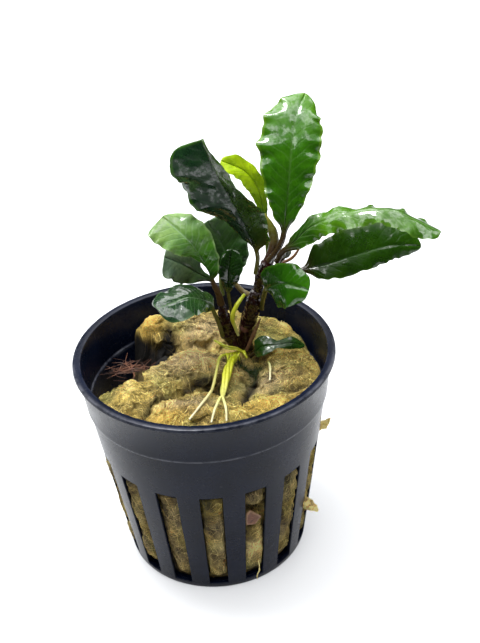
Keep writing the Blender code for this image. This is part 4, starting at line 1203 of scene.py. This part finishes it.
def threads(lines, radii):
    """Points and faces of three-sided threads along lines, thin at both ends."""
    count, knots = lines.shape[:2]
    forward = unit(np.gradient(lines, axis=1) + 1e-9)
    side = unit(np.cross(forward, np.array([0.31, 0.17, 0.93])))
    up = np.cross(side, forward)
    profile = np.sin(np.linspace(0.35, math.pi - 0.25, knots))[None, :, None]
    rings = []
    for a in (0, FULL_TURN / 3, FULL_TURN * 2 / 3):
        rings.append(lines + (side * math.cos(a) + up * math.sin(a)) * radii[:, None, None] * profile)
    points = np.stack(rings, axis=2).reshape(-1, 3)
    base = np.arange(count)[:, None, None] * knots * 3 + np.arange(knots - 1)[None, :, None] * 3
    k = np.arange(3)[None, None, :]
    n = (k + 1) % 3
    quads = np.stack([base + k, base + n, base + 3 + n, base + 3 + k], axis=3).reshape(-1, 4)
    foot = np.arange(count)[:, None] * knots * 3 + np.arange(3)[None, ::-1]
    head = foot[:, ::-1] + (knots - 1) * 3
    return points, quads.tolist() + foot.tolist() + head.tolist()


def add_fibres(name, lines, radii, tones, material):
    """Piece of loose fibres, each lighter or darker than the wool under it."""
    points, faces = threads(lines, radii)
    marks = wool_marks(points)
    own = np.repeat(tones, len(points) // len(tones))
    marks["tone"] = (0.45 * marks["tone"] + 0.8 * own).clip(0, 1)
    # Loose fibres keep seven tenths of the painted shade of the wool under them.
    marks["deep"] = marks["deep"] * 0.7
    add_piece(name, points, faces, material, marks=marks, sharp=180)


def build_wool_fibres(material):
    """Loose fibres on the wool's top; each bends as it goes and rises a little in its middle."""
    draw = np.random.default_rng(11)
    radius = 23.4 * np.sqrt(draw.random(TOP_FIBRES))
    angle = draw.random(TOP_FIBRES) * FULL_TURN
    starts = np.stack([radius * np.cos(angle), radius * np.sin(angle)], axis=1)
    x, y = starts.T
    covered = (within(x, y, *HOLLOW) < 0.15) & (crease_depth(x, y) < 2) & (wool_height(x, y) > FIBRE_FLOOR)
    starts = starts[covered]
    count = len(starts)
    headings = lumps(xyz(*starts.T), 6.0, 9) * 6 + draw.normal(0, 0.6, count)
    lengths = draw.uniform(1.0, 3.4, count)
    ends = starts + lengths[:, None] * np.stack([np.cos(headings), np.sin(headings)], axis=1)
    kept = wool_height(*ends.T) > FIBRE_FLOOR
    place, headings, lengths = starts[kept], headings[kept], lengths[kept]
    count = len(place)
    radii = draw.uniform(0.03, 0.075, count)
    lift = draw.uniform(0.05, 0.55, count) ** 1.3
    turn = draw.normal(0, 0.38, count)
    steps = FIBRE_KNOTS - 1
    lines = []
    for k in range(FIBRE_KNOTS):
        scale = np.minimum(1, 23.6 / np.maximum(np.hypot(*place.T), 1))
        line = wool_surface(*(place.T * scale))
        line[:, 2] += lift * math.sin(math.pi * k / steps) + 0.04
        lines.append(line)
        place = place + (lengths / steps)[:, None] * np.stack([np.cos(headings), np.sin(headings)], axis=1)
        headings = headings + turn + draw.normal(0, 0.15, count)
    add_fibres("wool_top_fibres", np.stack(lines, axis=1), radii, draw.beta(1.1, 1.2, count), material)


def build_slot_fibres(material):
    """Loose fibres in the slots, flush with the wall, and the thin root that hangs out of one."""
    draw = np.random.default_rng(12)
    lines = []
    for m in range(SLOT_COUNT):
        middle = math.radians(FIRST_SLOT_ANGLE + m * SLOT_PITCH)
        for _ in range(FIBRES_A_SLOT):
            z = draw.uniform(3.5, SLOT_TOP - 1.5)
            half = slot_width(z) / 2 * 0.86
            t = draw.uniform(-half, half)
            heading = 1.2 + 2.5 * noise.noise(Vector((m * 5.1, t * 0.25, z * 0.16))) + draw.normal(0, 0.4)
            step = draw.uniform(1.2, 4.0) / FIBRE_KNOTS
            turn = draw.normal(0, 0.3)
            line = []
            for k in range(FIBRE_KNOTS):
                a = middle + t / inner_radius(z)
                rise = 0.04 + 0.16 * math.sin(math.pi * k / (FIBRE_KNOTS - 1))
                line.append(circle(float(wool_side(np.array([a]), np.array([z]))[0]) + rise, a, z))
                t = min(max(t + step * math.cos(heading), -half), half)
                z = min(max(z + step * math.sin(heading), 3.0), SLOT_TOP - 0.6)
                heading += turn
            lines.append(line)
    radii = draw.uniform(0.03, 0.075, len(lines) + 1)
    radii[-1] = THIN_ROOT_RADIUS
    tones = np.append(draw.beta(1.1, 1.2, len(lines)), 1)
    lines.append(smooth_path(THIN_ROOT, FIBRE_KNOTS))
    add_fibres("wool_slot_fibres", np.array(lines), radii, tones, material)


def build_wool_tuft(name, path, radii, material, seed):
    """Tuft of wool pushed out of a slot: a ragged core and loose threads."""
    draw = np.random.default_rng(seed)
    core = strand(path, radii, 14, 26, 0.35, seed, 0.8)
    centre = smooth_path(path)
    lines = []
    for _ in range(60):
        i = draw.integers(0, 300)
        place = centre[i] + draw.normal(0, 0.5, 3) * np.interp(i / 400, np.linspace(0, 1, len(radii)), radii)
        heading = unit(centre[min(i + 60, 399)] - centre[i] + draw.normal(0, 0.5, 3))
        length = draw.uniform(0.5, 1.3)
        lines.append([place + heading * length * k / 5 for k in range(6)])
    loose = threads(np.array(lines), draw.uniform(0.03, 0.06, len(lines)))
    points, faces, _ = joined([core, (*loose, np.zeros(len(loose[0])))])
    zero = np.zeros(len(points))
    tone = (0.8 + 0.5 * lumps(points, 0.8, 15)).clip(0, 1)
    marks = {"warm": zero, "grey": zero + 0.4, "deep": zero, "tone": tone}
    add_piece("ragged_" + name, points, faces, material, name, marks, sharp=180)


# Stems, shoots, roots

def build_grown(groups):
    """Stems and shoots, as tubes; each starts a little way inside what it grows from."""
    maroon = bark_material(groups)
    for k, (name, (path, radii, scars)) in enumerate(STEMS.items()):
        rings = tube_rings(rooted(path), radii, 36, 90, 0.2, 1.8, k, scars)
        build_tube(name, *rings, maroon, LEAF_SCAR if name == "main_stem" else None)
    for k, (name, (path, radii, tones)) in enumerate(SHOOTS.items()):
        rings = tube_rings(rooted(path), radii, 28, 70, 0.08, 1.2, k + 10)
        build_tube(name, *rings, root_material(name + "_skin", groups, tones))


def twisted(path, count, offset, turns, which):
    """Path of one strand of a bundle that winds round the bundle's own path."""
    s = np.linspace(0, 1, 60)
    centre, forward = places_on(smooth_path(path, 60), s)
    side = unit(np.cross(forward, np.array([0, 0, 1.0])))
    up = np.cross(side, forward)
    a = (FULL_TURN * (which / count + turns * s))[:, None]
    reach = offset * np.sin(math.pi * np.clip(s * 0.85 + 0.12, 0, 1))[:, None]
    return centre + (side * np.cos(a) * 1.3 + up * np.sin(a)) * reach


def build_roots(groups):
    """Single roots, the bundle of four twisted ones, and the crown of short ones at the stems' foot."""
    skins = {name: root_material(name, groups, tones) for name, tones in ROOT_TONES.items()}
    for k, (name, skin) in enumerate(ROOT_SKINS.items()):
        path, radii = ROOTS[name]
        build_tube(name, *tube_rings(rooted(path), radii, 14, 120, 0.12, 1.2, k + 20), skins[skin])
    fresh = skins["root_yellow_green"]
    path, radii = ROOTS["root_bundle"]
    parts = [strand(twisted(path, 4, 0.42, 0.6, k), radii, 12, 110, 0.1, k) for k in range(4)]
    points, faces, along = joined(parts)
    add_piece("grown_root_bundle", points, faces, fresh, "root_bundle", {"along": along})
    path, radii = ROOTS["root_crown"]
    parts = [strand(twisted(path, 3, 0.26, 0.5, k), radii, 10, 60, 0.12, k) for k in range(3)]
    draw = random.Random(5)
    for k in range(9):
        start = Vector((8.6 - 3.8 * k / 8, 3.9 - 0.5 * k / 8, 45.3))
        end = start + Vector((draw.uniform(-0.9, 0.9), draw.uniform(-2.6, -1.6), draw.uniform(-1.3, -0.5)))
        middle = (start + end) / 2 + Vector((0, -0.3, 0.45))
        parts.append(strand([start, middle, end], (0.26, 0.22, 0.12), 8, 24, 0.15, k))
    points, faces, along = joined(parts)
    add_piece("grown_root_crown", points, faces, fresh, "root_crown", {"along": along * 0.6})


def build_dead_tuft(groups):
    """Clump of thin dead brown roots lying in the hollow beside the wool."""
    draw = np.random.default_rng(21)
    flat = (1, 1, 0.3)
    centre = np.array(TUFT_CENTRE)
    parts = []
    for arm in TUFT_ARMS:
        middle = centre + (np.array(arm) - centre) * 0.5 + draw.normal(0, 0.4, 3) * flat
        parts.append(strand([centre, middle, arm], (0.12, 0.1, 0.04), 6, 16, 0.2))
    for k in range(44):
        heading = draw.normal(0.35, 0.6)
        half = draw.uniform(1.2, 3.9) * np.array([math.cos(heading), math.sin(heading), draw.normal(0, 0.08)])
        middle = centre + draw.normal(0, 1, 3) * (1.9, 1.5, 0.3)
        bent = middle + draw.normal(0, 0.5, 3) * flat
        radius = draw.uniform(0.035, 0.11)
        radii = (radius * 0.6, radius, radius * 0.35)
        parts.append(strand([middle - half, bent, middle + half], radii, 6, 16, 0.2, k))
    points, faces, _ = joined(parts)
    add_piece("dead_root_clump", points, faces, dead_fibre_material(groups), "dead_root_tuft")


def build_moss(groups):
    """Dark green fuzz on the wool beside the root bundle."""
    draw = np.random.default_rng(31)
    count = 620
    x = draw.normal(9.5, 1.5, count)
    foot = wool_surface(x, draw.normal(1.2, 1.4, count))
    lean = draw.normal(0, 0.45, (count, 2))
    length = draw.uniform(0.5, 1.6, count)
    lines = []
    for t in np.linspace(0, 1, 5):
        lines.append(foot + np.column_stack([lean * (length * t * t)[:, None], length * t * 0.7]))
    points, faces = threads(np.stack(lines, axis=1), draw.uniform(0.03, 0.06, count))
    material = root_material("moss_green", groups, [(0, (0.014, 0.031, 0.0054)), (1, (0.034, 0.068, 0.01))])
    add_piece("moss_fuzz", points, faces, material, marks={"along": np.full(len(points), 0.5)}, sharp=180)


def build_chip(groups):
    """Flake of bark held in a slot, with a rough layered face and torn edges."""
    angle = math.radians(CHIP_ANGLE)
    outward = np.array([math.cos(angle), math.sin(angle), 0])
    sideways = np.array([-math.sin(angle), math.cos(angle), 0])
    lean = (BAND_FOOT_RADIUS - STEP_WIDTH - BASE_RADIUS) / STEP_HEIGHT
    width, depth, height = CHIP_SIZE
    corners = np.array(CHIP_OUTLINE)
    middle = corners.mean(axis=0)
    sides = zip(corners, np.roll(corners, -1, axis=0))
    rim = np.concatenate([np.linspace(*side, 8, endpoint=False) for side in sides])
    rings, torn = [], []
    for share, layer in ((0.02, 0.08), (0.35, 0.06), (0.7, 0.05), (0.93, 0.06), (1, 0.15), (1, depth - 0.1),
                         (0.93, depth), (0.7, depth), (0.35, depth), (0.02, depth)):
        torn.append(np.full(len(rim), max(0, share - 0.75) * 4))
        along, up = ((middle + (rim - middle) * share) * (width, height)).T[..., None]
        points = outward * (inner_radius(CHIP_HEIGHT) + lean * up + layer) + sideways * along
        points[:, 2] = CHIP_HEIGHT + up[:, 0]
        rings.append(points + outward * (0.09 * lumps(points, 0.7, 8))[:, None])
    points, faces = closed(np.array(rings))
    marks = {"torn": np.array(torn)}
    add_piece("bark_flake", points, faces, chip_material(groups), "bark_chip", marks, sharp=50)


# Stage

def build_camera():
    """Camera at the photograph's viewing angle."""
    level = math.cos(CAMERA_PITCH)
    forward = Vector((math.sin(CAMERA_YAW) * level, math.cos(CAMERA_YAW) * level, -math.sin(CAMERA_PITCH)))
    right = forward.cross(Vector((0, 0, 1))).normalized()
    up = right.cross(forward)
    turned_right = math.cos(CAMERA_ROLL) * right + math.sin(CAMERA_ROLL) * up
    turned_up = -math.sin(CAMERA_ROLL) * right + math.cos(CAMERA_ROLL) * up
    data = bpy.data.cameras.new("camera")
    data.sensor_width = SENSOR_WIDTH
    data.lens = FOCAL_PIXELS * SENSOR_WIDTH / FRAME_HEIGHT
    data.clip_start = 0.01
    camera = bpy.data.objects.new("camera", data)
    axes = Matrix((turned_right, turned_up, -forward)).transposed()
    camera.matrix_world = Matrix.Translation((0, -CAMERA_DISTANCE * MM, CAMERA_HEIGHT * MM)) @ axes.to_4x4()
    bpy.context.collection.objects.link(camera)
    bpy.context.scene.camera = camera


def add_light(name, place, target, size, power):
    data = bpy.data.lights.new(name, "AREA")
    data.shape = "RECTANGLE"
    data.size, data.size_y = size
    data.energy = power
    light = bpy.data.objects.new(name, data)
    light.location = place
    light.rotation_euler = (Vector(target) - Vector(place)).to_track_quat("-Z", "Y").to_euler()
    bpy.context.collection.objects.link(light)


def build_stage():
    """White floor that darkens in front, dim surroundings and soft lights from above."""
    mesh = bpy.data.meshes.new("floor")
    mesh.from_pydata([(-3, -3, 0), (3, -3, 0), (3, 3, 0), (-3, 3, 0)], [], [(0, 1, 2, 3)])
    material, t = new_material("white_sweep")
    depth = t.add("SeparateXYZ", {"Vector": t.add("TexCoord", out="Object")}, "Y")
    lit = t.step(depth, -0.4, -0.12)
    t.fill(t.shader, {
        "Base Color": t.blend(lit, (0.027, 0.027, 0.031), (0.50, 0.51, 0.52)),
        "Emission Color": t.blend(lit, (0.03, 0.03, 0.03), (0.96, 0.965, 1.0)),
        "Emission Strength": 0.25, "Roughness": 0.7, "Specular IOR Level": 0.2})
    mesh.materials.append(material)
    floor = bpy.data.objects.new("floor", mesh)
    bpy.context.collection.objects.link(floor)

    world = bpy.data.worlds.new("white_surroundings")
    bpy.context.scene.world = world
    world.use_nodes = True
    t = Nodes(world.node_tree)
    height = t.add("SeparateXYZ", {"Vector": t.add("TexCoord", out="Generated")}, "Z")
    brightness = t.ramp(height, [(0, (0.03, 0.03, 0.035)), (0.5, (0.03, 0.03, 0.03)), (0.8, (0.1, 0.1, 0.1))])
    t.fill(t.tree.nodes["Background"], {"Color": brightness})
    add_light("top_softbox", (-0.02, 0.10, 0.55), (-0.02, 0.10, 0), (0.95, 1.15), 14)
    add_light("bright_core", (-0.10, 0.06, 0.54), (-0.02, 0.03, 0), (0.16, 0.16), 3.4)
    view = bpy.context.scene.view_settings
    view.view_transform = "Standard"
    view.look = "None"


def main():
    groups = SimpleNamespace(wet=wet_group(), wear=wear_group(), felt=felt_group(), veins=vein_group())
    groups.leaf_colour = leaf_colour_group(groups.veins)
    build_camera()
    build_stage()
    build_pot(plastic_material(groups))
    build_wool(wool_material("wool_ochre", groups, 1.0))
    loose = wool_material("wool_loose_threads", groups, 1.35)
    build_wool_fibres(loose)
    build_slot_fibres(loose)
    for k, (name, (path, radii)) in enumerate(WOOL_TUFTS.items()):
        build_wool_tuft(name, path, radii, loose, 40 + k)
    for k, (name, item) in enumerate(LEAVES.items()):
        build_leaf(name, item, leaf_material(name + "_blade", groups, **LEAF_TONES[name]), k)
    build_grown(groups)
    build_roots(groups)
    build_dead_tuft(groups)
    build_moss(groups)
    build_chip(groups)


main()
